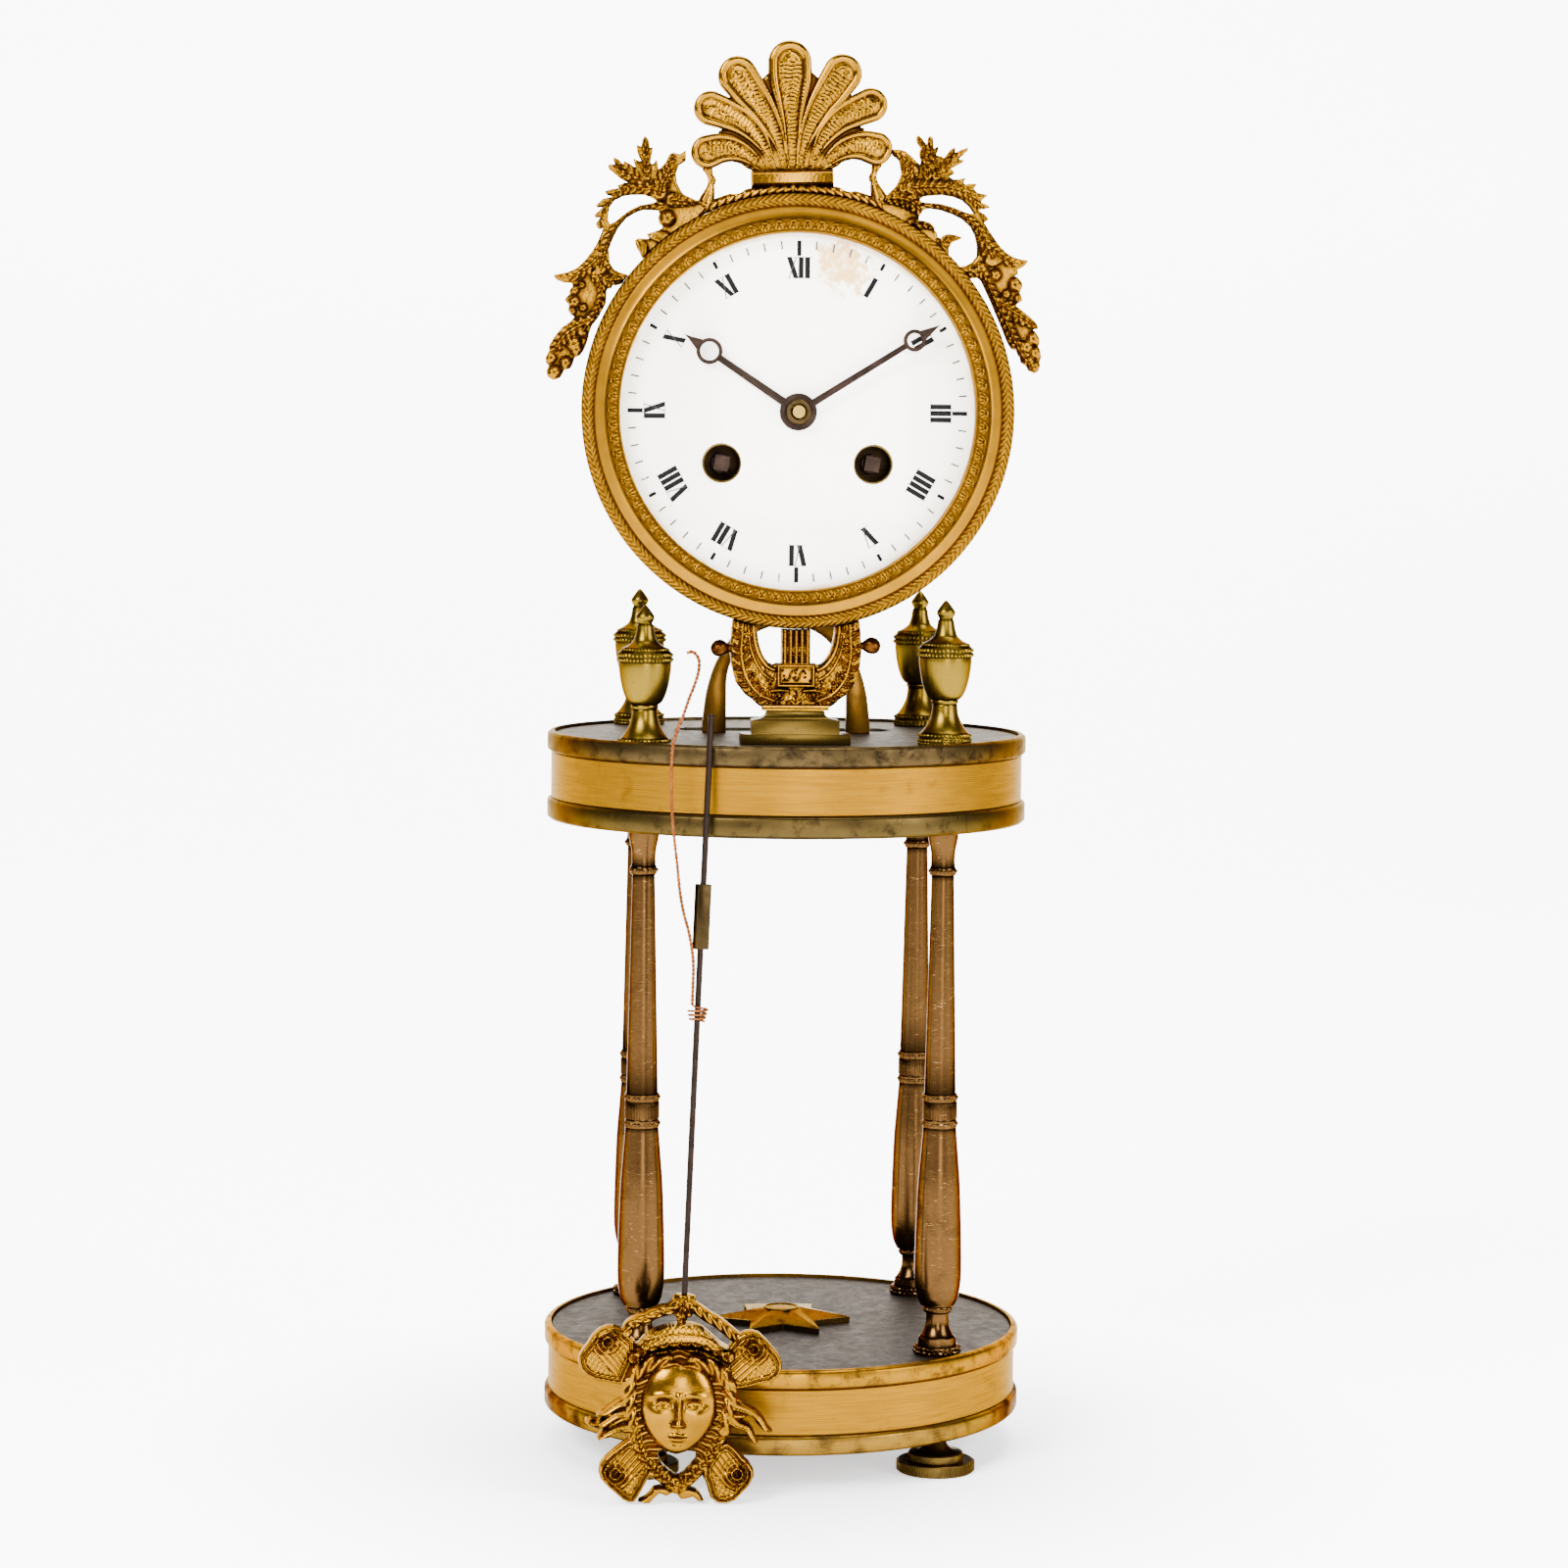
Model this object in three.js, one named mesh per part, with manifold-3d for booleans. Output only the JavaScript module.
// Portico clock with a lyre-borne head, urn finials and an unhooked pendulum
// Lengths are in millimetres, +Z is up and the dial faces -Y

import * as THREE from 'three';
import { mergeVertices } from 'three/addons/utils/BufferGeometryUtils.js';
import Module from 'manifold-3d';

const wasm = await Module();
wasm.setup();

// Clearances and counts of sides

const seatGap = 0.3;
const runningGap = 0.3;
const cutOverrun = 2;
const weldDistance = 0.0001;
const hoopSides = 32;
const drumSides = 20;
const ringSides = 16;
const turnedSides = 12;
const boreSides = 12;
const rodSides = 8;
const wireSides = 6;
const leafSides = 4;

// Feet

const footHeight = 11.5;
const footDiscRadius = 12.1;
const footDiscHeight = 3.6;
const footStepRadius = 8.4;
const footStepHeight = 2.4;
const footNeckRadius = 2.4;

// Base and platform drums

const drumRadius = 75;
const rimChamfer = 0.9;
const rimLipWidth = 1.2;
const rimLedgeWidth = 6.5;
const bandInset = 1.2;
const bandWall = 3;
const plateThickness = 1.6;
const plateRecess = 1;
const baseLowerRimHeight = 6;
const baseBandHeight = 14;
const baseUpperRimHeight = 6;
const platformLowerRimHeight = 6.7;
const platformBandHeight = 14.4;
const platformUpperRimHeight = 6.3;
const slotLength = 70;
const slotWidth = 16;
const slotEndDepth = 4;
const pendulumPlaneY = 22;

// Columns and finials

const columnInset = 29.5;
const columnHeight = 160.8;
const columnRadius = 7.2;
const finialHeight = 41.8;
const finialRadius = 8.2;
const finialDiscHeight = 2.1;

// Star on the base plate

const starPoints = 6;
const starRadius = 22;
const starValleyRadius = 11.5;
const starEdgeHeight = 1.9;
const starHubHeight = 5.2;
const starHubRadius = 5.7;
const starRecessRadius = 4.9;
const starRecessDepth = 1;

// Lyre and its plinth

const lyreY = -45;
const lyreThickness = 8;
const plinthHalfWidth = 16.6;
const plinthHalfDepth = 6.4;
const plinthHeight = 10.2;
const bowlHalfWidth = 19.8;
const bowlRise = 29.8;
const lipHalfWidth = 10;
const lipHeight = 1.2;
const stringsHalfWidth = 4.3;
const stringsThickness = 5;
const stringCount = 7;
const stringRelief = 0.5;
const tabletHalfWidth = 5.9;
const tabletHeight = 7.2;
const tabletRise = 6.7;
const tabletFrame = 0.8;
const reliefDepth = 0.8;
const voluteRadius = 2.1;
const voluteOffset = 5.2;
const voluteRise = 4.6;
const budLength = 6;
const budRadius = 2.5;
const saddleDepth = 5;
const saddleInnerHalfWidth = 12.6;

// Rear arch that carries the case

const archY = 6;
const archDepth = 6;
const archHalfWidth = 26.4;
const archBoreRadius = 19;
const archBoreRise = 15.3;

// Head: case, bezel and dial

const headRise = 35;
const bezelRadius = 65.2;
const bezelWidth = 11.6;
const bezelFrontY = -50.5;
const bezelBackY = -42;
const dialLap = 1.6;
const dialThickness = 1.1;
const dialEdgeGap = 0.4;
const dialDome = 2.5;
const dialRingShare = 0.6;
const dialCentreHoleRadius = 4.3;
const dialPlateThickness = 1.4;
const caseInset = 8.2;
const caseWall = 1.4;
const caseBackY = 48;
const caseRimHeight = 1.5;
const caseRimWidth = 3;
const caseSlotHalfWidth = 15;
const caseSlotWidth = 17;

// Rear door and its hinge

const doorThickness = 2;
const hingeOffset = 2.6;
const knuckleRadius = 2.2;
const knuckleLength = 7;
const hingePinRadius = 0.8;
const doorKnobRadius = 2.2;
const doorKnobLength = 4;
const doorKnobInset = 6;

// Hands

const minuteHandAngle = THREE.MathUtils.degToRad(58);
const hourHandAngle = THREE.MathUtils.degToRad(303.7);
const handThickness = 0.9;
const handGap = 0.9;
const minuteHandShare = 0.9076;
const minuteRingShare = 0.741;
const minuteRingRadius = 3.1;
const minuteRingWall = 0.8;
const minuteBarWidth = 1.3;
const minuteHubRadius = 3.6;
const hourHandShare = 0.7536;
const hourRingShare = 0.5851;
const hourRingRadius = 3.7;
const hourRingWall = 0.8;
const hourBarWidth = 1.5;
const hourHubRadius = 5.6;
const handPointWidth = 2.6;
const colletRadius = 3.9;
const colletHeight = 1.3;
const colletGroove = 0.9;
const handPinRadius = 0.3;
const handPinLength = 7.4;
const handPinSinkShare = 0.8;

// Motion work under the dial

const gearModule = 0.6;
const cannonTeeth = 10;
const minuteWheelTeeth = 30;
const minutePinionTeeth = 8;
const hourWheelTeeth = 32;
const addendumShare = 0.85;
const dedendumShare = 1.25;
const toothTipShare = 0.22;
const toothRootShare = 0.56;
const wheelThickness = 1.8;
const cannonRadius = 1.9;
const hourPipeWall = 1;
const studRadius = 0.8;
const centreArborRadius = 0.9;

// Movement

const movementInset = 11;
const movementPlateThickness = 2;
const dialPillarHeight = 6.3;
const dialPillarRadius = 1.8;
const dialPillarCircleShare = 0.8696;
const movementDepth = 38;
const movementPillarRadius = 3;
const movementPillarNeckRadius = 1.9;
const movementPillarCircleShare = 0.8913;
const pillarCount = 4;
const pillarTaperShare = 0.15;
const windingOffsetShare = 0.49565;
const windingDropShare = 0.33696;
const windingHoleRadius = 5.85;
const windingSquare = 4.4;
const windingSquareLength = 7.5;
const windingRecess = 1.9;
const windingArborRadius = 2.9;
const windingPivotRadius = 1.5;
const squareTurn = THREE.MathUtils.degToRad(9);
const barrelShare = 0.3587;
const barrelLength = 24;
const greatWheelShare = 0.40217;
const greatWheelThickness = 2;
const barrelFrontGap = 3;

// Crutch, suspension, count wheel, hammer and bell

const crutchRiseShare = 0.65217;
const crutchLengthShare = 1.17391;
const crutchRadius = 0.8;
const crutchForkLength = 8.4;
const crutchForkWidth = 8.4;
const crutchForkSlotWidth = 5.4;
const crutchForkSlotLength = 3.8;
const crutchForkThickness = 1.3;
const cockWidth = 10;
const cockArmHalfWidth = 2.5;
const cockHeight = 7;
const cockRiseShare = 0.78261;
const cockFootHeight = 3;
const loopRadius = 0.35;
const loopHalfWidth = 2.4;
const loopDrop = 10;
const loopSteps = 14;
const countWheelShare = 0.32609;
const countWheelThickness = 1.4;
const countNotchDepth = 2;
const countStudRadius = 1.9;
const countArcStrikes = 3;
const hourStrikes = 12;
const bellShare = 0.63043;
const bellDepth = 16;
const bellWall = 1.2;
const bellMouthGap = 6;
const bellDropShare = 0.13043;
const bellScrewRadius = 1.3;
const bellPostShare = 0.73913;
const bellPostDropShare = 0.52174;
const bellPostRadius = 2;
const bellArmThickness = 1.8;
const bellArmHalfWidth = 2.5;
const hammerPivotRiseShare = 0.30435;
const hammerLean = 2.7;
const hammerGap = 1.3;
const hammerHeadDropShare = 0.15217;
const hammerHeadRadius = 3;
const hammerHeadLength = 6;
const hammerArborRadius = 1.2;
const hammerArmRadius = 0.9;
const blindHoleDepth = 0.9;

// Crest

const crestY = -44.6;
const crestHalfDepth = 2.2;
const crestLeafDepth = 0.8;
const crestTurn = THREE.MathUtils.degToRad(1.85);

// Pendulum

const rodRadius = 0.92;
const rodOverhang = 14.2;
const bobRise = 34.3;
const bobTop = 28.5;
const bobHalfWidth = 30.7;
const bobBackDepth = 2;
const bobFlatDepth = 1.4;
const wingEyeRadius = 5.4;
const wingEyeDepth = 1.6;
const rodSocketDepth = 3;
const ferruleRadius = 3.2;
const ferruleHeight = 3;
const guideWidth = 4.4;
const guideDepth = 2.6;
const guideHeight = 19.4;
const guideRise = 131;
const guideTurn = THREE.MathUtils.degToRad(22);
const pendulumLeanSide = THREE.MathUtils.degToRad(2.32);
const pendulumLeanBack = THREE.MathUtils.degToRad(3.24);
const pendulumTouchX = -26.7;
const knotRise = 109.6;
const knotTurns = 3;
const knotPitch = 1.2;
const knotWireRadius = 0.38;
const knotTopRadius = 2.9;
const knotBottomRadius = 2.1;
const knotTurnSteps = 16;
const knotSampleSteps = 4;
const tieWireRadius = 0.43;
const tieWireSteps = 36;

// Heights and planes worked out from the sizes above

const baseHeight = baseLowerRimHeight + baseBandHeight + baseUpperRimHeight;
const platformHeight = platformLowerRimHeight + platformBandHeight + platformUpperRimHeight;
const basePlateZ = footHeight + baseHeight - plateRecess;
const platformZ = basePlateZ + columnHeight;
const platformPlateZ = platformZ + platformHeight - plateRecess;
const dialZ = platformPlateZ + headRise + bezelRadius;
const columnOffset = drumRadius - columnInset;
const rebateRadius = drumRadius - rimChamfer - rimLipWidth;
const plateRadius = rebateRadius - seatGap;
const rimLandRadius = drumRadius - rimChamfer;
const bandRadius = drumRadius - bandInset;
const bezelOpeningRadius = bezelRadius - bezelWidth;
const dialRadius = bezelOpeningRadius + dialLap;
const caseRadius = bezelRadius - caseInset;
const dialEdgeY = bezelBackY - dialEdgeGap - dialThickness;
const dialCentreFrontY = dialEdgeY - dialDome;
const dialPlateFrontY = bezelBackY + seatGap;
const dialPlateBackY = dialPlateFrontY + dialPlateThickness;
const caseBoreRadius = caseRadius - caseWall;
const frontPlateY = dialPlateBackY + dialPillarHeight;
const frontPlateBackY = frontPlateY + movementPlateThickness;
const backPlateY = frontPlateBackY + movementDepth;
const backPlateBackY = backPlateY + movementPlateThickness;
const movementRadius = caseRadius - movementInset;
const dialPillarCircle = movementRadius * dialPillarCircleShare;
const movementPillarCircle = movementRadius * movementPillarCircleShare;
const windingOffset = movementRadius * windingOffsetShare;
const windingZ = dialZ - movementRadius * windingDropShare;
const crutchPivotZ = dialZ + movementRadius * crutchRiseShare;
const bellZ = dialZ - movementRadius * bellDropShare;
const bellRadius = movementRadius * bellShare;
const hammerHeadX = -bellRadius - hammerHeadRadius - hammerGap;
const hammerPivotX = hammerHeadX - hammerLean;
const hammerPivotZ = dialZ + movementRadius * hammerPivotRiseShare;
const windingFrontY = bezelBackY - windingRecess + seatGap;
const cannonBackY = frontPlateY - wheelThickness;
const motionDistance = gearModule * (cannonTeeth + minuteWheelTeeth) / 2;
const hourHandBackY = dialCentreFrontY - handGap;
const hourHandFrontY = hourHandBackY - handThickness;
const minuteHandBackY = hourHandFrontY - handGap;
const minuteHandFrontY = minuteHandBackY - handThickness;
const colletFrontY = minuteHandFrontY - colletHeight;
const bellMouthY = pendulumPlaneY + bellMouthGap;
const rodLength = columnHeight + rodOverhang;

// Finishes

function finish(color, roughness, metalness) {
  return new THREE.MeshStandardMaterial({ color, roughness, metalness, flatShading: true });
}

const giltBronze = finish(0xb98a2c, 0.38, 1);
const satinBrass = finish(0xa8893f, 0.42, 1);
const columnBronze = finish(0x7a4a22, 0.4, 1);
const darkBrass = finish(0x5c4a28, 0.5, 1);
const greyPlate = finish(0x6d6a62, 0.6, 0.8);
const enamel = finish(0xf1ede0, 0.25, 0);
const movementBrass = finish(0xb39a52, 0.4, 1);
const darkSteel = finish(0x3a2f28, 0.45, 1);
const brightSteel = finish(0x8d8d90, 0.35, 1);
const copper = finish(0xc07a48, 0.4, 1);
const silk = finish(0xb8a888, 0.9, 0);

// Geometry helpers

function weld(geometry) {
  geometry.deleteAttribute('normal');
  geometry.deleteAttribute('uv');
  const merged = mergeVertices(geometry, weldDistance);
  const kept = [];
  const index = merged.index.array;
  for (let i = 0; i < index.length; i += 3) {
    const [a, b, c] = [index[i], index[i + 1], index[i + 2]];
    if (a !== b && b !== c && c !== a) {
      kept.push(a, b, c);
    }
  }
  merged.setIndex(kept);
  return merged;
}

function signedVolume(geometry) {
  const position = geometry.getAttribute('position');
  const index = geometry.index.array;
  const corners = [new THREE.Vector3(), new THREE.Vector3(), new THREE.Vector3()];
  let volume = 0;
  for (let i = 0; i < index.length; i += 3) {
    corners.forEach((corner, k) => corner.fromBufferAttribute(position, index[i + k]));
    volume += corners[0].dot(corners[1].cross(corners[2])) / 6;
  }
  return volume;
}

function outward(geometry) {
  const welded = weld(geometry);
  if (signedVolume(welded) < 0) {
    const index = welded.index.array;
    for (let i = 0; i < index.length; i += 3) {
      [index[i + 1], index[i + 2]] = [index[i + 2], index[i + 1]];
    }
  }
  return welded;
}

function solidOf(geometry) {
  const welded = outward(geometry);
  const vertProperties = new Float32Array(welded.getAttribute('position').array);
  const triVerts = new Uint32Array(welded.index.array);
  return new wasm.Manifold(new wasm.Mesh({ numProp: 3, vertProperties, triVerts }));
}

function geometryOf(solid) {
  const mesh = solid.getMesh();
  const geometry = new THREE.BufferGeometry();
  geometry.setAttribute('position', new THREE.BufferAttribute(new Float32Array(mesh.vertProperties), 3));
  geometry.setIndex(new THREE.BufferAttribute(new Uint32Array(mesh.triVerts), 1));
  return geometry;
}

function join(...geometries) {
  return geometryOf(geometries.map(solidOf).reduce((whole, part) => whole.add(part)));
}

function cut(geometry, ...tools) {
  return geometryOf(tools.map(solidOf).reduce((rest, tool) => rest.subtract(tool), solidOf(geometry)));
}

function keepInside(geometry, box) {
  return geometryOf(solidOf(geometry).intersect(solidOf(box)));
}

// A turning about Z from [radius, height] pairs
function turned(profile, sides) {
  const points = profile.map(([radius, height]) => new THREE.Vector2(radius, height));
  const geometry = new THREE.LatheGeometry(points, sides);
  geometry.rotateX(Math.PI / 2);
  return outward(geometry);
}

// A turning about the dial's axis from [radius, y] pairs
function turnedFacing(profile, sides, x = 0, z = 0) {
  const points = profile.map(([radius, y]) => new THREE.Vector2(radius, y));
  const geometry = new THREE.LatheGeometry(points, sides);
  geometry.translate(x, 0, z);
  return outward(geometry);
}

function closed(profile) {
  return [...profile, profile[0]];
}

function turnedRing(inner, outer, bottom, top, sides = hoopSides) {
  return turned(closed([[inner, bottom], [outer, bottom], [outer, top], [inner, top]]), sides);
}

// A bar along the dial's axis
function spindle(radius, frontY, backY, x = 0, z = 0, sides = boreSides) {
  return turnedFacing([[0, frontY], [radius, frontY], [radius, backY], [0, backY]], sides, x, z);
}

function facingRing(inner, outer, frontY, backY, x = 0, z = 0, sides = boreSides) {
  const profile = [[inner, frontY], [outer, frontY], [outer, backY], [inner, backY]];
  return turnedFacing(closed(profile), sides, x, z);
}

function box(x0, x1, y0, y1, z0, z1) {
  const geometry = new THREE.BoxGeometry(x1 - x0, y1 - y0, z1 - z0);
  geometry.translate((x0 + x1) / 2, (y0 + y1) / 2, (z0 + z1) / 2);
  return geometry;
}

// An outline in X and Z, given thickness along Y
function facingSlab(shape, frontY, backY, curveSegments = boreSides) {
  const depth = backY - frontY;
  const geometry = new THREE.ExtrudeGeometry(shape, { depth, bevelEnabled: false, curveSegments });
  geometry.rotateX(Math.PI / 2);
  geometry.translate(0, backY, 0);
  return outward(geometry);
}

function shapeOf(points) {
  return new THREE.Shape(points.map(([x, z]) => new THREE.Vector2(x, z)));
}

function mirrored(points) {
  return points.map(([x, z]) => [-x, z]).reverse();
}

function scaled(shares, width, height, z = 0) {
  return shares.map(([x, y]) => [x * width, z + y * height]);
}

// A solid through rings of points, each ring with as many points as the last
function ringSolid(rings) {
  const count = rings[0].length;
  const centres = [rings[0], rings.at(-1)].map((ring) => {
    const sum = ring.reduce((total, point) => total.add(point), new THREE.Vector3());
    return sum.divideScalar(count);
  });
  const points = [...rings.flat(), ...centres];
  const first = points.length - 2;
  const last = points.length - 1;
  const index = [];
  for (let k = 0; k < count; k += 1) {
    const next = (k + 1) % count;
    index.push(first, next, k);
    for (let level = 1; level < rings.length; level += 1) {
      const low = (level - 1) * count;
      const high = level * count;
      index.push(low + k, low + next, high + next, low + k, high + next, high + k);
    }
    const top = (rings.length - 1) * count;
    index.push(last, top + k, top + next);
  }
  const geometry = new THREE.BufferGeometry().setFromPoints(points);
  geometry.setIndex(index);
  return outward(geometry);
}

// A limb in the plane of the dial through stations of [x, z, half width, half depth]
function limb(stations, y, sides = wireSides) {
  const rings = stations.map(([x, z, halfWidth, halfDepth], i) => {
    const before = stations[Math.max(i - 1, 0)];
    const after = stations[Math.min(i + 1, stations.length - 1)];
    const along = new THREE.Vector2(after[0] - before[0], after[1] - before[1]).normalize();
    const ring = [];
    for (let k = 0; k < sides; k += 1) {
      const angle = 2 * Math.PI * k / sides;
      const across = halfWidth * Math.cos(angle);
      const deep = halfDepth * Math.sin(angle);
      ring.push(new THREE.Vector3(x + along.y * across, y + deep, z - along.x * across));
    }
    return ring;
  });
  return ringSolid(rings);
}

// The same with its stations as shares of one size
function shareLimb(shares, size, y, z, sides = wireSides) {
  const stations = shares.map(([x, up, half, deep]) => [x * size, z + up * size, half * size, deep * size]);
  return limb(stations, y, sides);
}

function tubeAlong(curve, radius, sides, steps) {
  const section = new THREE.Shape();
  for (let k = 0; k < sides; k += 1) {
    const angle = 2 * Math.PI * k / sides;
    const point = [radius * Math.cos(angle), radius * Math.sin(angle)];
    if (k === 0) {
      section.moveTo(...point);
    } else {
      section.lineTo(...point);
    }
  }
  const geometry = new THREE.ExtrudeGeometry(section, { steps, extrudePath: curve, bevelEnabled: false });
  return outward(geometry);
}

// The clock as a scene graph

const clock = new THREE.Group();

function piece(name, geometry, material, parent = clock) {
  const drawn = geometry.index ? geometry.toNonIndexed() : geometry;
  drawn.computeVertexNormals();
  const mesh = new THREE.Mesh(drawn, material);
  mesh.name = name;
  parent.add(mesh);
  return mesh;
}

const columnPlaces = [
  ['front_left', -columnOffset, -columnOffset],
  ['front_right', columnOffset, -columnOffset],
  ['back_left', -columnOffset, columnOffset],
  ['back_right', columnOffset, columnOffset],
];

// Feet: knurled disc, smaller disc and hollowed stem

const footStemShares = [[0.42, 0.22], [0.1, 0.6], [0, 1]];

function addFeet() {
  const stepTop = footDiscHeight + footStepHeight;
  const stemHeight = footHeight - stepTop;
  const stemFlare = footStepRadius - footNeckRadius;
  const stem = footStemShares.map(([flare, rise]) => [
    footNeckRadius + flare * stemFlare,
    stepTop + rise * stemHeight,
  ]);
  const profile = [
    [0, 0],
    [footDiscRadius, 0],
    [footDiscRadius, footDiscHeight],
    [footStepRadius, footDiscHeight],
    [footStepRadius, stepTop],
    ...stem,
    [0, footHeight],
  ];
  for (const [place, x, y] of columnPlaces) {
    const foot = piece(`foot_${place}`, turned(profile, turnedSides), satinBrass);
    foot.position.set(x, y, 0);
  }
}

// Drums: two rims, an engine-turned band between them and two plates

function rimProfile(height) {
  const inner = rebateRadius - rimLedgeWidth;
  const rebateTop = plateThickness + plateRecess;
  return closed([
    [inner, 0],
    [rimLandRadius, 0],
    [drumRadius, rimChamfer],
    [drumRadius, height - rimChamfer],
    [rimLandRadius, height],
    [rebateRadius, height],
    [rebateRadius, height - rebateTop],
    [inner, height - rebateTop],
  ]);
}

function lowerRimProfile(height) {
  const inner = rebateRadius - rimLedgeWidth;
  return closed([
    [rebateRadius, 0],
    [rimLandRadius, 0],
    [drumRadius, rimChamfer],
    [drumRadius, height - rimChamfer],
    [rimLandRadius, height],
    [inner, height],
    [inner, plateThickness],
    [rebateRadius, plateThickness],
  ]);
}

function slotOutline(overrun) {
  const halfLength = slotLength / 2 + overrun;
  const halfWidth = slotWidth / 2 + overrun;
  return [
    [-halfLength, 0],
    [-halfLength + slotEndDepth, -halfWidth],
    [halfLength - slotEndDepth, -halfWidth],
    [halfLength, 0],
    [halfLength - slotEndDepth, halfWidth],
    [-halfLength + slotEndDepth, halfWidth],
  ];
}

function drumPlate(slotted) {
  const shape = new THREE.Shape();
  shape.absarc(0, 0, plateRadius, 0, 2 * Math.PI);
  if (slotted) {
    const slot = slotOutline(0).map(([x, y]) => new THREE.Vector2(x, pendulumPlaneY + y));
    shape.holes.push(new THREE.Path(slot));
  }
  const settings = { depth: plateThickness, bevelEnabled: false, curveSegments: hoopSides / 2 };
  return outward(new THREE.ExtrudeGeometry(shape, settings));
}

function addDrum(name, z, heights, slotted, finishes) {
  const [lower, middle, upper] = heights;
  const bandTop = lower + middle;
  const height = bandTop + upper;
  const band = turnedRing(bandRadius - bandWall, bandRadius, lower, bandTop);
  const parts = [
    [`${name}_lower_rim`, turned(lowerRimProfile(lower), hoopSides), 0, finishes.lowerRim],
    [`${name}_band`, band, 0, giltBronze],
    [`${name}_upper_rim`, turned(rimProfile(upper), hoopSides), bandTop, finishes.upperRim],
    [`${name}_top_plate`, drumPlate(slotted), height - plateRecess - plateThickness, greyPlate],
    [`${name}_bottom_plate`, drumPlate(slotted), 0, darkBrass],
  ];
  for (const [partName, geometry, rise, material] of parts) {
    piece(partName, geometry, material).position.set(0, 0, z + rise);
  }
}

function addDrums() {
  const baseHeights = [baseLowerRimHeight, baseBandHeight, baseUpperRimHeight];
  const platformHeights = [platformLowerRimHeight, platformBandHeight, platformUpperRimHeight];
  addDrum('base', footHeight, baseHeights, false, { lowerRim: satinBrass, upperRim: giltBronze });
  addDrum('platform', platformZ, platformHeights, true, { lowerRim: satinBrass, upperRim: darkBrass });
}

// Columns: beaded foot, hollowed neck, swelling shaft, knurled collar, taper and cap

const columnShares = [
  [0.99, 0], [0.99, 0.014], [0.8, 0.02], [0.78, 0.032], [0.48, 0.072], [0.61, 0.084], [0.61, 0.092],
  [0.74, 0.095], [0.95, 0.122], [1, 0.172], [0.91, 0.323], [0.7, 0.437], [0.79, 0.445], [0.7, 0.453],
  [0.7, 0.487], [0.79, 0.495], [0.67, 0.503], [0.48, 0.905], [0.61, 0.922], [0.61, 0.932], [0.51, 0.94],
  [0.64, 1],
];

function addColumns() {
  const profile = [[0, 0], ...scaled(columnShares, columnRadius, columnHeight), [0, columnHeight]];
  for (const [place, x, y] of columnPlaces) {
    const column = piece(`column_${place}`, turned(profile, turnedSides), columnBronze);
    column.position.set(x, y, basePlateZ);
  }
}

// Finials: lidded urns on a beaded foot, three of them with a beaded disc under it

const finialShares = [
  [0.98, 0], [1, 0.03], [0.87, 0.045], [0.56, 0.13], [0.45, 0.2], [0.51, 0.28], [0.83, 0.38],
  [0.98, 0.53], [0.97, 0.59], [1, 0.63], [0.84, 0.68], [0.4, 0.75], [0.3, 0.85], [0.34, 0.92],
];

const finialDiscShares = [[0.95, 0], [1, 0.2], [1, 0.75], [0.93, 1]];

function addFinials() {
  for (const [place, x, y] of columnPlaces) {
    const lift = place === 'front_left' ? 0 : finialDiscHeight;
    const disc = lift > 0 ? scaled(finialDiscShares, finialRadius, finialDiscHeight) : [];
    const urn = scaled(finialShares, finialRadius, finialHeight, lift);
    const profile = [[0, 0], ...disc, ...urn, [0, finialHeight + lift]];
    const finial = piece(`finial_${place}`, turned(profile, turnedSides), satinBrass);
    finial.position.set(x, y, platformPlateZ);
  }
}

// Star: ridges from six points to a hub with a round recess

function addStar() {
  const count = 2 * starPoints;
  const level = (pointRadius, valleyRadius, height) => {
    const ring = [];
    for (let k = 0; k < count; k += 1) {
      const angle = 2 * Math.PI * k / count;
      const radius = k % 2 === 0 ? pointRadius : valleyRadius;
      ring.push(new THREE.Vector3(radius * Math.cos(angle), radius * Math.sin(angle), height));
    }
    return ring;
  };
  const star = ringSolid([
    level(starRadius, starValleyRadius, 0),
    level(starRadius, starValleyRadius, starEdgeHeight),
    level(starHubRadius, starHubRadius, starHubHeight),
    level(starRecessRadius, starRecessRadius, starHubHeight),
    level(starRecessRadius, starRecessRadius, starHubHeight - starRecessDepth),
  ]);
  piece('base_star', star, giltBronze).position.set(0, 0, basePlateZ);
}

// Cutters for what stands round the bezel and the case

function bezelClearance() {
  const front = bezelFrontY - cutOverrun;
  const back = bezelBackY + seatGap;
  return spindle(bezelRadius + seatGap, front, back, 0, dialZ, hoopSides);
}

function caseClearance() {
  return spindle(caseRadius + seatGap, bezelBackY, caseBackY, 0, dialZ, hoopSides);
}

// Lyre plinth: two steps and a hollowed neck

const plinthShares = [
  [1, 1, 0], [1, 1, 0.31], [0.8, 0.8, 0.31], [0.8, 0.8, 0.72], [0.63, 0.72, 0.78],
  [0.55, 0.65, 0.86], [0.52, 0.6, 1],
];

function addPlinth() {
  const corners = [[-1, -1], [1, -1], [1, 1], [-1, 1]];
  const rings = plinthShares.map(([width, depth, rise]) => corners.map(([x, y]) => new THREE.Vector3(
    x * width * plinthHalfWidth,
    lyreY + y * depth * plinthHalfDepth,
    platformPlateZ + rise * plinthHeight,
  )));
  piece('lyre_plinth', ringSolid(rings), giltBronze);
}

// Lyre: bowl and arms, strings, tablet, volutes, buds and the saddle that the case lies on

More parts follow.
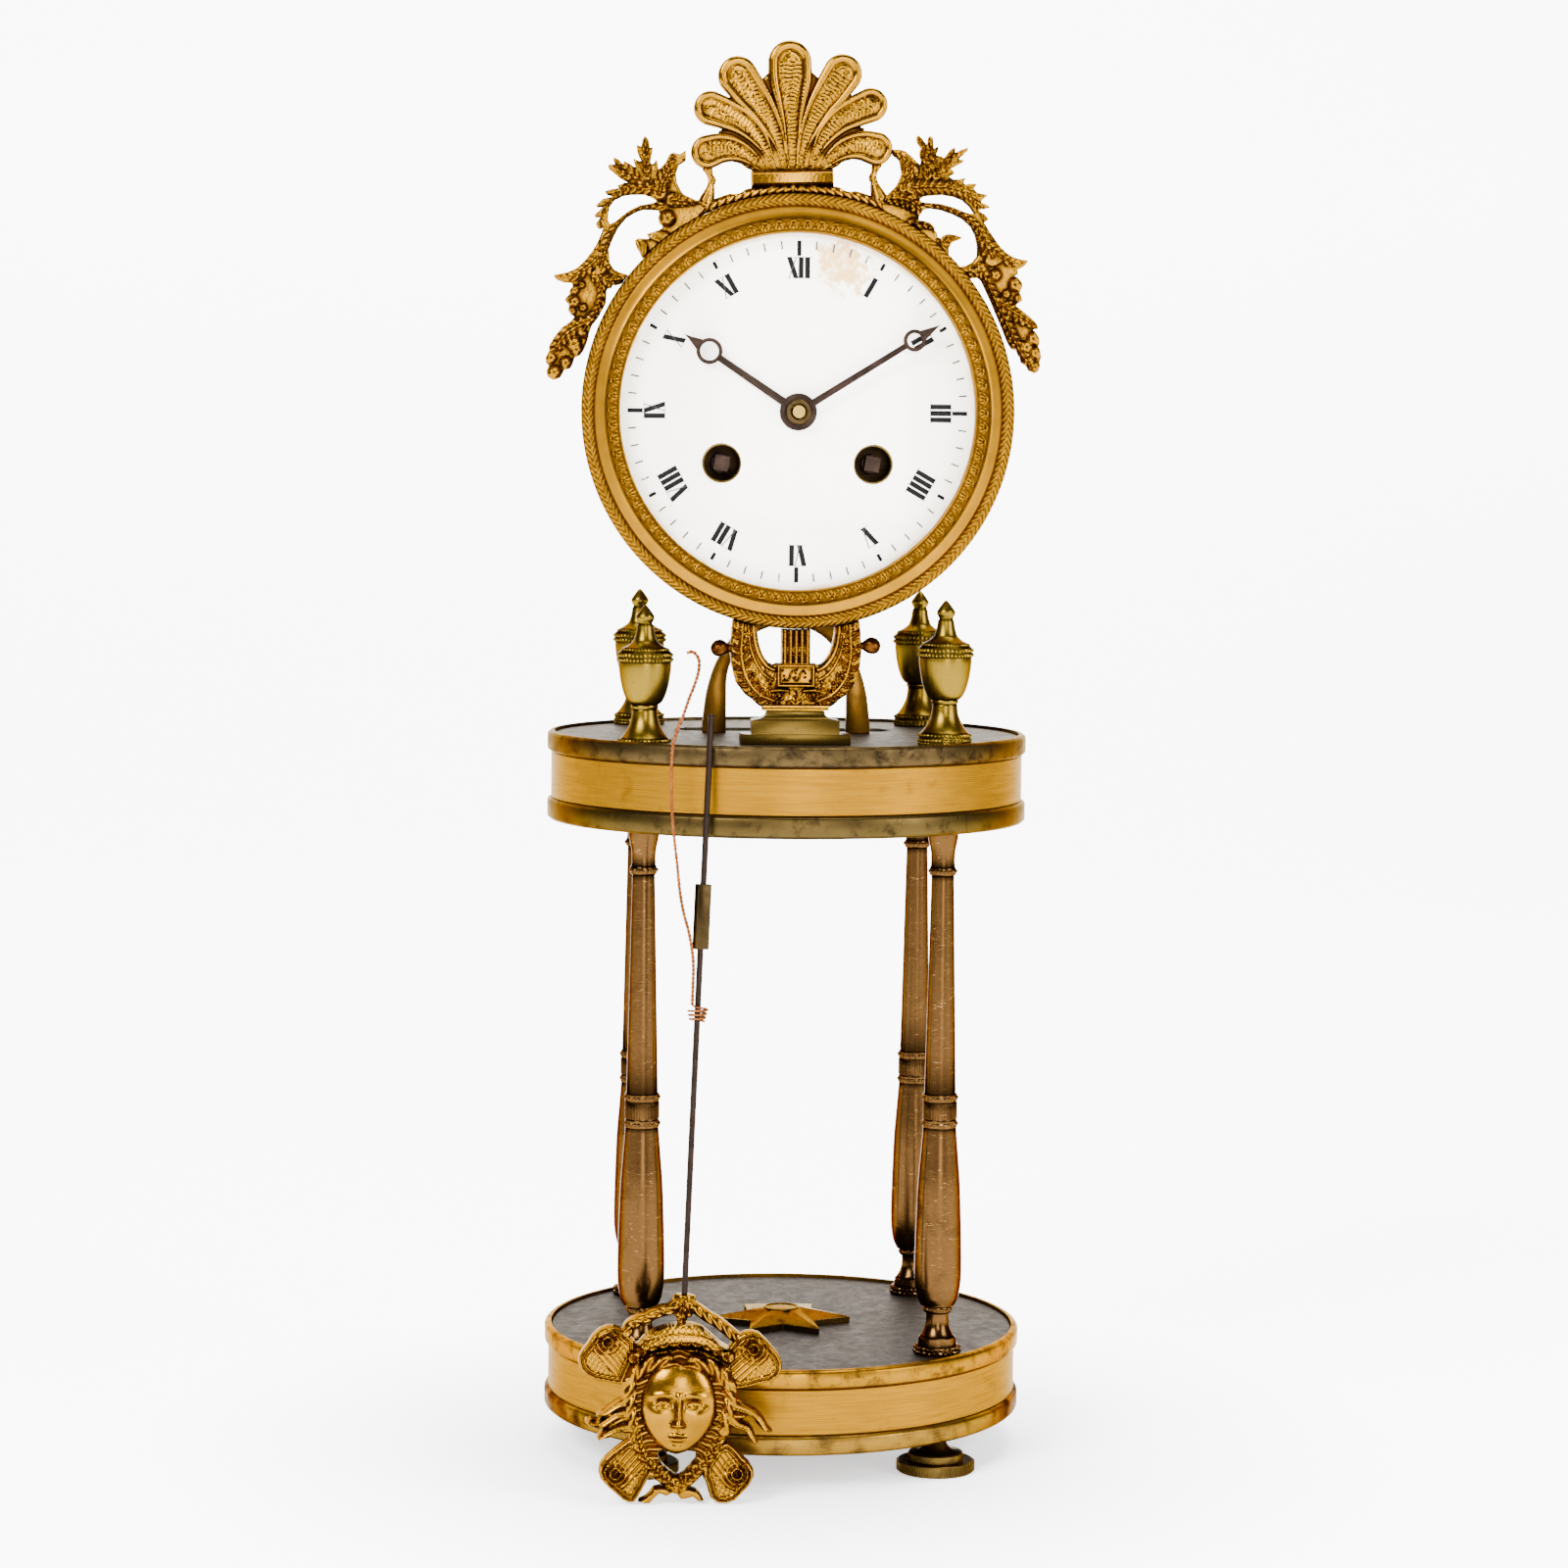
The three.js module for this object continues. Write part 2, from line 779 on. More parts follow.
const bowlShares = [
  [0.5, 0], [0.66, 0.07], [0.79, 0.14], [0.9, 0.24], [0.95, 0.34], [0.99, 0.48], [1, 0.6],
  [0.98, 0.76], [0.955, 1],
];
const lyreGapShares = [
  [0.22, 0.44], [0.3, 0.44], [0.34, 0.425], [0.4, 0.44], [0.46, 0.48], [0.52, 0.55], [0.57, 0.66],
  [0.595, 0.8], [0.6, 1.1], [0.22, 1.1],
];

const budRiseShare = 0.6;
const saddleRiseShare = 0.76;
const budShares = [[0, 0.5], [0.3, 0.5], [0.5, 1], [0.85, 1], [1, 0.5]];

function stringBundle(frontY, backY, bottom, top) {
  const reed = 2 * stringsHalfWidth / stringCount;
  const outline = [[stringsHalfWidth, backY], [-stringsHalfWidth, backY]];
  for (let k = 0; k < stringCount; k += 1) {
    const left = -stringsHalfWidth + k * reed;
    outline.push([left, frontY + stringRelief], [left + reed / 2, frontY]);
  }
  outline.push([stringsHalfWidth, frontY + stringRelief]);
  const settings = { depth: top - bottom, bevelEnabled: false };
  const geometry = new THREE.ExtrudeGeometry(shapeOf(outline), settings);
  geometry.translate(0, 0, bottom);
  return outward(geometry);
}

function lyreBud(side, z) {
  const start = side * (bowlHalfWidth - reliefDepth);
  const reach = side * budLength;
  return limb(budShares.map(([along, width]) => {
    const radius = width * budRadius;
    return [start + along * reach, z, radius, radius];
  }), lyreY);
}

function addLyre() {
  const frontY = lyreY - lyreThickness / 2;
  const backY = lyreY + lyreThickness / 2;
  const lipZ = platformPlateZ + plinthHeight;
  const bowlZ = lipZ + lipHeight;
  const right = scaled(bowlShares, bowlHalfWidth, bowlRise, bowlZ);
  const bowl = facingSlab(shapeOf([...right, ...mirrored(right)]), frontY, backY);
  const gap = scaled(lyreGapShares, bowlHalfWidth, bowlRise, bowlZ);
  const gapRight = facingSlab(shapeOf(gap), frontY - cutOverrun, backY + cutOverrun);
  const gapLeft = facingSlab(shapeOf(mirrored(gap)), frontY - cutOverrun, backY + cutOverrun);
  const strings = stringBundle(
    lyreY - stringsThickness / 2, lyreY + stringsThickness / 2, bowlZ + tabletRise, bowlZ + bowlRise,
  );
  const lip = box(-lipHalfWidth, lipHalfWidth, frontY, backY, lipZ, bowlZ + cutOverrun);
  const tabletZ = bowlZ + tabletRise - tabletFrame;
  const tabletFrontY = frontY - reliefDepth;
  const tablet = box(
    -tabletHalfWidth, tabletHalfWidth, tabletFrontY, lyreY, tabletZ, tabletZ + tabletHeight,
  );
  const panel = box(
    -tabletHalfWidth + tabletFrame, tabletHalfWidth - tabletFrame, tabletFrontY - cutOverrun,
    frontY - reliefDepth / 2, tabletZ + tabletFrame, tabletZ + tabletHeight - tabletFrame,
  );
  const volutes = [-1, 1].map((side) => spindle(
    voluteRadius, tabletFrontY, lyreY, side * voluteOffset, lipZ + voluteRise, turnedSides,
  ));
  const buds = [-1, 1].map((side) => lyreBud(side, bowlZ + budRiseShare * bowlRise));
  const saddles = [-1, 1].map((side) => {
    const edges = [side * saddleInnerHalfWidth, side * bowlHalfWidth * bowlShares.at(-1)[0]];
    const top = dialZ - caseRadius / 2;
    return box(
      Math.min(...edges), Math.max(...edges), backY - saddleDepth / 2, backY + saddleDepth / 2,
      bowlZ + saddleRiseShare * bowlRise, top,
    );
  });
  const arms = cut(bowl, gapLeft, gapRight);
  const whole = join(arms, strings, lip, tablet, ...volutes, ...buds, ...saddles);
  piece('lyre', cut(whole, panel, bezelClearance(), caseClearance()), giltBronze);
}

// Rear arch: two legs and a crown under the case

const archShares = [
  [1, 0], [0.985, 0.13], [0.95, 0.31], [0.88, 0.46], [0.78, 0.59], [0.63, 0.73], [0.5, 0.86], [0.5, 1.1],
];

function addArch() {
  const crown = dialZ - caseRadius - platformPlateZ;
  const right = scaled(archShares, archHalfWidth, crown, platformPlateZ);
  const outline = shapeOf([...right, ...mirrored(right)]);
  const block = facingSlab(outline, archY - archDepth / 2, archY + archDepth / 2);
  const bore = new THREE.Shape();
  const boreZ = platformPlateZ + archBoreRise;
  bore.moveTo(-archBoreRadius, platformPlateZ - cutOverrun);
  bore.lineTo(archBoreRadius, platformPlateZ - cutOverrun);
  bore.absarc(0, boreZ, archBoreRadius, 0, Math.PI);
  const hollow = facingSlab(bore, archY - archDepth, archY + archDepth, turnedSides / 2);
  piece('rear_arch', cut(block, hollow, caseClearance()), darkBrass);
}

// Case: open tube with a rim at its back, the pendulum slot and two hinge knuckles

const hingeX = -caseRadius - hingeOffset;
const hingeY = caseBackY + seatGap + knuckleRadius;
const hingePinLength = 3 * knuckleLength;

function hingeBore() {
  const overrun = hingePinLength / 2 + cutOverrun;
  const bore = turned([
    [0, -overrun],
    [hingePinRadius + runningGap, -overrun],
    [hingePinRadius + runningGap, overrun],
    [0, overrun],
  ], boreSides);
  bore.translate(hingeX, hingeY, dialZ);
  return bore;
}

function knuckle(z, length) {
  const geometry = turned(closed([
    [hingePinRadius + runningGap, 0],
    [knuckleRadius, 0],
    [knuckleRadius, length],
    [hingePinRadius + runningGap, length],
  ]), boreSides);
  geometry.translate(hingeX, hingeY, z);
  return geometry;
}

function addCase() {
  const tube = turnedFacing(closed([
    [caseBoreRadius, bezelBackY],
    [caseRadius, bezelBackY],
    [caseRadius, caseBackY - caseRimWidth - caseRimHeight],
    [caseRadius + caseRimHeight, caseBackY - caseRimWidth],
    [caseRadius + caseRimHeight, caseBackY],
    [caseBoreRadius, caseBackY],
  ]), hoopSides, 0, dialZ);
  const slot = box(
    -caseSlotHalfWidth, caseSlotHalfWidth, pendulumPlaneY - caseSlotWidth / 2,
    pendulumPlaneY + caseSlotWidth / 2, dialZ - caseRadius - cutOverrun, dialZ - caseRadius / 2,
  );
  const lugs = [-1, 1].flatMap((side) => {
    const z = side < 0 ? dialZ - hingePinLength / 2 : dialZ + knuckleLength / 2;
    const arm = box(
      hingeX - knuckleRadius, -caseRadius + caseWall / 2, caseBackY - 2 * caseRimWidth, caseBackY, z,
      z + knuckleLength,
    );
    const riser = box(
      hingeX - knuckleRadius, hingeX + knuckleRadius - seatGap, caseBackY - caseRimWidth, hingeY, z,
      z + knuckleLength,
    );
    return [arm, riser, knuckle(z, knuckleLength)];
  });
  const middle = box(
    -caseRadius - 2 * hingeOffset, -caseRadius - caseRimHeight - seatGap, caseBackY - 3 * caseRimWidth,
    caseBackY + cutOverrun, dialZ - knuckleLength / 2, dialZ + knuckleLength / 2,
  );
  const inside = spindle(
    caseBoreRadius, bezelBackY - cutOverrun, caseBackY + cutOverrun, 0, dialZ, hoopSides,
  );
  const whole = join(tube, ...lugs);
  piece('head_case', cut(whole, slot, hingeBore(), middle, inside), giltBronze);
}

// Rear door: disc with its knuckle and knob, on a hinge pin

function addDoor() {
  const doorY = caseBackY + seatGap;
  const doorBackY = doorY + doorThickness;
  const disc = spindle(caseRadius, doorY, doorBackY, 0, dialZ, hoopSides);
  const length = knuckleLength - 2 * runningGap;
  const z = dialZ - length / 2;
  const leaf = box(
    hingeX, -caseRadius + 2 * caseWall, doorY, doorBackY, z, z + length,
  );
  const knob = spindle(
    doorKnobRadius, doorY + doorThickness / 2, doorBackY + doorKnobLength, caseRadius - doorKnobInset,
    dialZ, turnedSides,
  );
  piece('rear_door', cut(join(disc, leaf, knob, knuckle(z, length)), hingeBore()), giltBronze);
  const pin = turned([
    [0, 0],
    [hingePinRadius, 0],
    [hingePinRadius, hingePinLength],
    [0, hingePinLength],
  ], boreSides);
  pin.translate(hingeX, hingeY, dialZ - hingePinLength / 2);
  piece('door_hinge_pin', pin, brightSteel);
}

// Bezel: rope ring, hollow and leaf band round the dial

const bezelShares = [
  [0, 0.62], [0.33, 0.36], [0.38, 0.48], [0.52, 0.46], [0.66, 0.16], [0.74, 0], [0.93, 0], [1, 0.13],
];

function addBezel() {
  const depth = bezelBackY - bezelFrontY;
  const seatRadius = dialRadius + seatGap;
  const seatY = dialEdgeY - seatGap;
  const face = bezelShares.map(([across, back]) => [
    bezelOpeningRadius + across * bezelWidth,
    bezelFrontY + back * depth,
  ]);
  const profile = closed([
    [bezelOpeningRadius, seatY],
    ...face,
    [bezelRadius, bezelBackY],
    [seatRadius, bezelBackY],
    [seatRadius, seatY],
  ]);
  piece('bezel', turnedFacing(profile, hoopSides, 0, dialZ), giltBronze);
}

// Dial: domed enamel with a centre hole and two winding holes, on a flat plate

function windingCutters(radius, frontY, backY) {
  return [-1, 1].map((side) => spindle(radius, frontY, backY, side * windingOffset, windingZ));
}

function addDial() {
  const domeY = (radius) => {
    const share = radius / dialRadius;
    return dialEdgeY - dialDome * (1 - share * share);
  };
  const radii = [dialCentreHoleRadius, dialRadius * dialRingShare, dialRadius];
  const front = radii.map((radius) => [radius, domeY(radius)]);
  const back = radii.map((radius) => [radius, domeY(radius) + dialThickness]).reverse();
  const disc = turnedFacing(closed([...front, ...back]), hoopSides, 0, dialZ);
  const cutters = windingCutters(windingHoleRadius, bezelFrontY, bezelBackY);
  piece('dial', cut(disc, ...cutters), enamel);
}

function addDialPlate() {
  const disc = spindle(caseBoreRadius - seatGap, dialPlateFrontY, dialPlateBackY, 0, dialZ, hoopSides);
  const holes = windingCutters(windingHoleRadius, dialPlateFrontY - cutOverrun, dialPlateBackY + cutOverrun);
  const centre = spindle(
    dialCentreHoleRadius, dialPlateFrontY - cutOverrun, dialPlateBackY + cutOverrun, 0, dialZ,
  );
  const posts = [];
  for (let k = 0; k < pillarCount; k += 1) {
    const angle = 2 * Math.PI * k / pillarCount;
    posts.push(spindle(
      dialPillarRadius, dialPlateBackY - dialPlateThickness / 2, frontPlateY,
      dialPillarCircle * Math.cos(angle), dialZ + dialPillarCircle * Math.sin(angle), rodSides,
    ));
  }
  piece('dial_plate', cut(join(disc, ...posts), centre, ...holes), movementBrass);
}

// Hands: bar, ring and pointed tip, seen from the front, turned to their hour

function addHand(name, size, angle, frontY, backY, boreRadius) {
  const disc = (radius, distance, sides) => spindle(radius, frontY, backY, 0, distance, sides);
  const bar = box(-size.bar / 2, size.bar / 2, frontY, backY, 0, size.ring);
  const point = facingSlab(shapeOf([
    [-size.point / 2, size.ring + size.ringRadius / 2],
    [size.point / 2, size.ring + size.ringRadius / 2],
    [0, size.length],
  ]), frontY, backY);
  const hub = disc(size.hub, 0, ringSides);
  const whole = join(hub, bar, disc(size.ringRadius, size.ring, ringSides), point);
  const eyeRadius = size.ringRadius - size.wall;
  const eye = spindle(eyeRadius, frontY - cutOverrun, backY + cutOverrun, 0, size.ring, ringSides);
  const bore = spindle(boreRadius, frontY - cutOverrun, backY + cutOverrun, 0, 0);
  const hand = piece(name, cut(whole, eye, bore), darkSteel);
  hand.rotation.set(0, angle, 0);
  hand.position.set(0, 0, dialZ);
}

function addHands() {
  const minute = {
    length: dialRadius * minuteHandShare,
    ring: dialRadius * minuteRingShare,
    ringRadius: minuteRingRadius,
    wall: minuteRingWall,
    bar: minuteBarWidth,
    hub: minuteHubRadius,
    point: handPointWidth,
  };
  const hour = {
    length: dialRadius * hourHandShare,
    ring: dialRadius * hourRingShare,
    ringRadius: hourRingRadius,
    wall: hourRingWall,
    bar: hourBarWidth,
    hub: hourHubRadius,
    point: handPointWidth,
  };
  const hourPipeRadius = cannonRadius + runningGap + hourPipeWall;
  addHand('minute_hand', minute, minuteHandAngle, minuteHandFrontY, minuteHandBackY, cannonRadius + seatGap);
  addHand('hour_hand', hour, hourHandAngle, hourHandFrontY, hourHandBackY, hourPipeRadius + seatGap);
}

function crossBar(radius, length, y) {
  const geometry = new THREE.CylinderGeometry(radius, radius, length, rodSides);
  geometry.rotateZ(Math.PI / 2);
  geometry.rotateY(minuteHandAngle);
  geometry.translate(0, y, dialZ);
  return geometry;
}

function addCollet() {
  const grooveY = colletFrontY + colletGroove;
  const ring = facingRing(
    cannonRadius + seatGap, colletRadius, colletFrontY, minuteHandFrontY, 0, dialZ, ringSides,
  );
  const groove = box(
    -colletRadius - cutOverrun, colletRadius + cutOverrun, colletFrontY - cutOverrun, grooveY,
    -colletGroove / 2, colletGroove / 2,
  );
  groove.rotateY(minuteHandAngle);
  groove.translate(0, 0, dialZ);
  const pin = crossBar(handPinRadius, handPinLength, grooveY - handPinRadius * handPinSinkShare);
  piece('hand_collet', join(cut(ring, groove), pin), satinBrass);
}

// Motion work: the cannon pinion turns the minute wheel, whose pinion turns the hour wheel

function gearShape(teeth, toothAngle) {
  const pitchRadius = gearModule * teeth / 2;
  const tip = pitchRadius + addendumShare * gearModule;
  const root = pitchRadius - dedendumShare * gearModule;
  const pitch = 2 * Math.PI / teeth;
  const points = [];
  for (let k = 0; k < teeth; k += 1) {
    const centre = toothAngle + k * pitch;
    const corners = [
      [root, -toothRootShare],
      [tip, -toothTipShare],
      [tip, toothTipShare],
      [root, toothRootShare],
    ];
    for (const [radius, share] of corners) {
      const angle = centre + share * pitch / 2;
      points.push([radius * Math.cos(angle), radius * Math.sin(angle)]);
    }
  }
  return shapeOf(points);
}

function gear(teeth, toothAngle, frontY, backY, z) {
  const geometry = facingSlab(gearShape(teeth, toothAngle), frontY, backY);
  geometry.translate(0, 0, z);
  return geometry;
}

function addMotionWork() {
  const up = Math.PI / 2;
  const minuteZ = dialZ + motionDistance;
  const cannonFrontY = cannonBackY - wheelThickness;
  const cannon = join(
    gear(cannonTeeth, up, cannonFrontY, cannonBackY, dialZ),
    spindle(cannonRadius, colletFrontY - seatGap, cannonBackY, 0, dialZ),
    spindle(centreArborRadius, cannonFrontY, frontPlateBackY + cutOverrun, 0, dialZ),
  );
  const pinHoleY = colletFrontY + colletGroove - handPinRadius;
  const pinHole = crossBar(handPinRadius + seatGap / 2, handPinLength, pinHoleY);
  piece('cannon_pinion', cut(cannon, pinHole), movementBrass);

  const wheelGap = Math.PI / minuteWheelTeeth;
  const pinionFrontY = dialPlateBackY + seatGap;
  const minuteWheel = join(
    gear(minuteWheelTeeth, -up + wheelGap, cannonFrontY, cannonBackY, minuteZ),
    gear(minutePinionTeeth, -up, pinionFrontY, cannonBackY, minuteZ),
  );
  const studBore = spindle(studRadius + runningGap, dialPlateBackY, frontPlateY, 0, minuteZ);
  piece('minute_wheel', cut(minuteWheel, studBore), movementBrass);

  const pipeInner = cannonRadius + runningGap;
  const hourBackY = cannonFrontY - 2 * runningGap;
  const hourFrontY = Math.max(hourBackY - wheelThickness, pinionFrontY);
  const hourGap = Math.PI / hourWheelTeeth;
  const hourWheel = join(
    gear(hourWheelTeeth, up + hourGap, hourFrontY, hourBackY, dialZ),
    spindle(pipeInner + hourPipeWall, hourHandFrontY, hourBackY, 0, dialZ),
  );
  const pipeBore = spindle(pipeInner, hourHandFrontY - cutOverrun, hourBackY + cutOverrun, 0, dialZ);
  piece('hour_wheel', cut(hourWheel, pipeBore), movementBrass);
}

// Movement: front plate, back plate with its riveted pillars, barrels and winding arbors

function movementPillar(angle) {
  const taper = movementDepth * pillarTaperShare;
  const profile = [
    [0, frontPlateBackY],
    [movementPillarRadius, frontPlateBackY],
    [movementPillarNeckRadius, frontPlateBackY + taper],
    [movementPillarNeckRadius, backPlateY - taper],
    [movementPillarRadius, backPlateY],
    [movementPillarRadius, backPlateY + movementPlateThickness / 2],
    [0, backPlateY + movementPlateThickness / 2],
  ];
  const x = movementPillarCircle * Math.cos(angle);
  const z = dialZ + movementPillarCircle * Math.sin(angle);
  return turnedFacing(profile, wireSides, x, z);
}

function addMovementPlates() {
  const front = join(
    spindle(movementRadius, frontPlateY, frontPlateBackY, 0, dialZ, hoopSides),
    spindle(studRadius, dialPlateBackY + seatGap, frontPlateBackY, 0, dialZ + motionDistance),
  );
  const centre = spindle(
    centreArborRadius + runningGap, frontPlateY - cutOverrun, frontPlateBackY + cutOverrun, 0, dialZ,
  );
  const arborHoles = windingCutters(
    windingArborRadius + runningGap, frontPlateY - cutOverrun, frontPlateBackY + cutOverrun,
  );
  piece('movement_front_plate', cut(front, centre, ...arborHoles), movementBrass);

  const countStud = spindle(
    countStudRadius, backPlateY, backPlateBackY + 2 * countWheelThickness, -windingOffset, windingZ,
  );
  const pillars = [];
  for (let k = 0; k < pillarCount; k += 1) {
    pillars.push(movementPillar(2 * Math.PI * k / pillarCount));
  }
  const disc = spindle(movementRadius, backPlateY, backPlateBackY, 0, dialZ, hoopSides);
  const back = join(disc, countStud, ...pillars);
  const through = (radius, x, z) => spindle(
    radius, backPlateY - cutOverrun, backPlateBackY + cutOverrun, x, z,
  );
  const holes = [
    through(windingPivotRadius + runningGap, windingOffset, windingZ),
    spindle(
      windingPivotRadius + runningGap, backPlateY - cutOverrun, backPlateY + blindHoleDepth, -windingOffset,
      windingZ,
    ),
    through(crutchRadius + runningGap, 0, crutchPivotZ),
    through(hammerArborRadius + runningGap, hammerPivotX, hammerPivotZ),
  ];
  piece('movement_back_plate', cut(back, ...holes), movementBrass);
}

function addBarrel(name, x) {
  const frontY = frontPlateBackY + barrelFrontGap;
  const backY = frontY + barrelLength;
  const bore = windingArborRadius + runningGap;
  const barrelRadius = movementRadius * barrelShare;
  const greatWheelRadius = movementRadius * greatWheelShare;
  const profile = closed([
    [bore, frontY],
    [barrelRadius, frontY],
    [barrelRadius, backY - greatWheelThickness],
    [greatWheelRadius, backY - greatWheelThickness],
    [greatWheelRadius, backY],
    [bore, backY],
  ]);
  piece(`${name}_barrel`, turnedFacing(profile, drumSides, x, windingZ), movementBrass);
}

function addWindingArbor(name, x, pivotBackY) {
  const half = windingSquare / 2;
  const square = box(-half, half, windingFrontY, windingFrontY + windingSquareLength, -half, half);
  square.rotateY(squareTurn);
  square.translate(x, 0, windingZ);
  const shaft = spindle(
    windingArborRadius, windingFrontY + windingSquareLength - seatGap, backPlateY - seatGap, x, windingZ,
  );
  const pivot = spindle(windingPivotRadius, backPlateY - cutOverrun, pivotBackY, x, windingZ);
  piece(`${name}_arbor`, join(square, shaft, pivot), darkSteel);
}

function addBarrels() {
  addBarrel('going', windingOffset);
  addBarrel('striking', -windingOffset);
  addWindingArbor('going', windingOffset, backPlateBackY + seatGap);
  addWindingArbor('striking', -windingOffset, backPlateY + seatGap);
}

// Crutch: arbor, rod and slotted fork for the pendulum's guide

function addCrutch() {
  const rodY = pendulumPlaneY - crutchForkLength / 2;
  const forkZ = crutchPivotZ - movementRadius * crutchLengthShare;
  const arbor = spindle(crutchRadius, backPlateY - cutOverrun, rodY + crutchRadius, 0, crutchPivotZ);
  const rod = turned([
    [0, forkZ],
    [crutchRadius, forkZ],
    [crutchRadius, crutchPivotZ + crutchRadius],
    [0, crutchPivotZ + crutchRadius],
  ], rodSides);
  rod.translate(0, rodY, 0);
  const fork = box(
    -crutchForkWidth / 2, crutchForkWidth / 2, rodY - crutchRadius, pendulumPlaneY + crutchForkLength / 2,
    forkZ, forkZ + crutchForkThickness,
  );
  const slot = box(
    -crutchForkSlotWidth / 2, crutchForkSlotWidth / 2, pendulumPlaneY - crutchForkSlotLength / 2,
    pendulumPlaneY + crutchForkSlotLength / 2, forkZ - cutOverrun, forkZ + crutchForkThickness + cutOverrun,
  );
  piece('crutch', cut(join(arbor, rod, fork), slot), darkSteel);
}

// Suspension cock on the back plate, with its silk loop

const loopShares = [[-1, 0], [-0.8, 0.6], [0, 1], [0.8, 0.6], [1, 0]];

function addSuspension() {
  const bottom = dialZ + movementRadius * cockRiseShare;
  const barBackY = pendulumPlaneY + cockFootHeight / 2;
  const foot = box(
    -cockWidth / 2, cockWidth / 2, backPlateBackY, backPlateBackY + cockFootHeight,
    bottom - cockFootHeight / 2, bottom + cockHeight,
  );
  const arm = box(
    -cockArmHalfWidth, cockArmHalfWidth, backPlateBackY + cockFootHeight / 2, barBackY, bottom,
    bottom + cockHeight / 2,
  );
  const bar = box(
    -cockWidth / 2, cockWidth / 2, barBackY - cockFootHeight, barBackY, bottom, bottom + cockHeight / 2,
  );
  piece('suspension_cock', join(foot, arm, bar), movementBrass);
  const top = bottom - loopRadius - seatGap;
  const points = scaled(loopShares, loopHalfWidth, -loopDrop, top);
  const path = new THREE.CatmullRomCurve3(points.map(([x, z]) => new THREE.Vector3(x, pendulumPlaneY, z)));
  piece('suspension_loop', tubeAlong(path, loopRadius, wireSides, loopSteps), silk);
}

// Count wheel: rim notches that stand further apart for each later hour

function addCountWheel() {
  const units = hourStrikes * (hourStrikes + 1) / 2 + hourStrikes;
  const unit = 2 * Math.PI / units;
  const outer = movementRadius * countWheelShare;
  const inner = outer - countNotchDepth;
  const points = [];
  let angle = 0;
  const mark = (radius) => points.push([radius * Math.cos(angle), radius * Math.sin(angle)]);
  for (let hour = 1; hour <= hourStrikes; hour += 1) {
    mark(inner);
    angle += unit;
    mark(inner);
    mark(outer);
    for (let strike = 0; strike < hour; strike += 1) {
      angle += unit;
      if ((strike + 1) % countArcStrikes === 0 || strike === hour - 1) {
        mark(outer);
      }
    }
  }
  const frontY = backPlateBackY + countWheelThickness / 2;
  const backY = frontY + countWheelThickness;
  const disc = facingSlab(shapeOf(points), frontY, backY);
  disc.translate(-windingOffset, 0, windingZ);
  const bore = spindle(
    countStudRadius + runningGap, frontY - cutOverrun, backY + cutOverrun, -windingOffset, windingZ,
  );
  piece('count_wheel', cut(disc, bore), movementBrass);
}

// Bell on its stand, and the hammer beside its rim

const bellShares = [[1, 0], [0.93, 0.22], [0.86, 0.55], [0.68, 0.85], [0.35, 1]];

function addBell() {
  const crownY = bellMouthY + bellDepth;
  const bore = bellScrewRadius + seatGap;
  const outer = bellShares.map(([radius, depth]) => [radius * bellRadius, bellMouthY + depth * bellDepth]);
  const innerDepth = bellDepth - bellWall;
  const inner = bellShares.map(([radius, depth]) => [
    radius * bellRadius - bellWall,
    bellMouthY + depth * innerDepth,
  ]);
  const profile = closed([...outer, [bore, crownY], [bore, crownY - bellWall], ...inner.reverse()]);
  piece('bell', turnedFacing(profile, drumSides, 0, bellZ), brightSteel);

  const postX = movementRadius * bellPostShare;
  const postZ = dialZ - movementRadius * bellPostDropShare;
  const armFrontY = crownY + seatGap;
  const armBackY = armFrontY + bellArmThickness;
  const post = spindle(bellPostRadius, backPlateBackY, armBackY, postX, postZ);
  const slope = Math.atan2(bellZ - postZ, -postX);
  const length = Math.hypot(postX, bellZ - postZ);
  const arm = box(0, length, armFrontY, armBackY, -bellArmHalfWidth, bellArmHalfWidth);
  arm.rotateY(-slope);
  arm.translate(postX, 0, postZ);
  const seat = spindle(bellArmHalfWidth, armFrontY, armBackY, 0, bellZ);
  const screw = spindle(bellScrewRadius, crownY - 2 * bellWall, armBackY, 0, bellZ);
  piece('bell_stand', join(post, arm, seat, screw), movementBrass);
}

function addHammer() {
  const headZ = dialZ - movementRadius * hammerHeadDropShare;
  const armY = bellMouthY + hammerHeadLength / 2;
  const arbor = spindle(
    hammerArborRadius, backPlateY - seatGap, armY + hammerArmRadius, hammerPivotX, hammerPivotZ,
  );
  const path = new THREE.LineCurve3(
    new THREE.Vector3(hammerPivotX, armY, hammerPivotZ),
    new THREE.Vector3(hammerHeadX, armY, headZ),
  );
  const arm = tubeAlong(path, hammerArmRadius, rodSides, 1);
  const head = spindle(hammerHeadRadius, bellMouthY, bellMouthY + hammerHeadLength, hammerHeadX, headZ);
  piece('hammer', join(arbor, arm, head), darkSteel);
}

// Crest: seven-lobe palmette in its band, with a spray of leaves on each side

const bandHalfWidthShare = 0.19;
const bandBottomShare = 1.04;
const bandTopShare = 1.108;
const bandDepthShare = 1.3;
const lobeRootShare = 1.098;
const lobeShares = [
  [0, 0, 1.35, 0, 1.61, 0.087],
  [0.049, 0.1, 1.36, 0.236, 1.549, 0.083],
  [0.097, 0.165, 1.3, 0.362, 1.382, 0.083],
  [0.143, 0.225, 1.235, 0.387, 1.181, 0.074],
];
const lobeWidthShares = [
  [0, 0.2], [0.33, 0.36], [0.53, 0.6], [0.71, 0.84], [0.86, 1], [0.95, 0.74], [1, 0.2],
];
const lobeEdgeDepthShare = 0.5;
const strutShares = [[0.371, 1.12, 0.022], [0.372, 1.08, 0.016], [0.372, 1.05, 0.022], [0.372, 0.9, 0.022]];
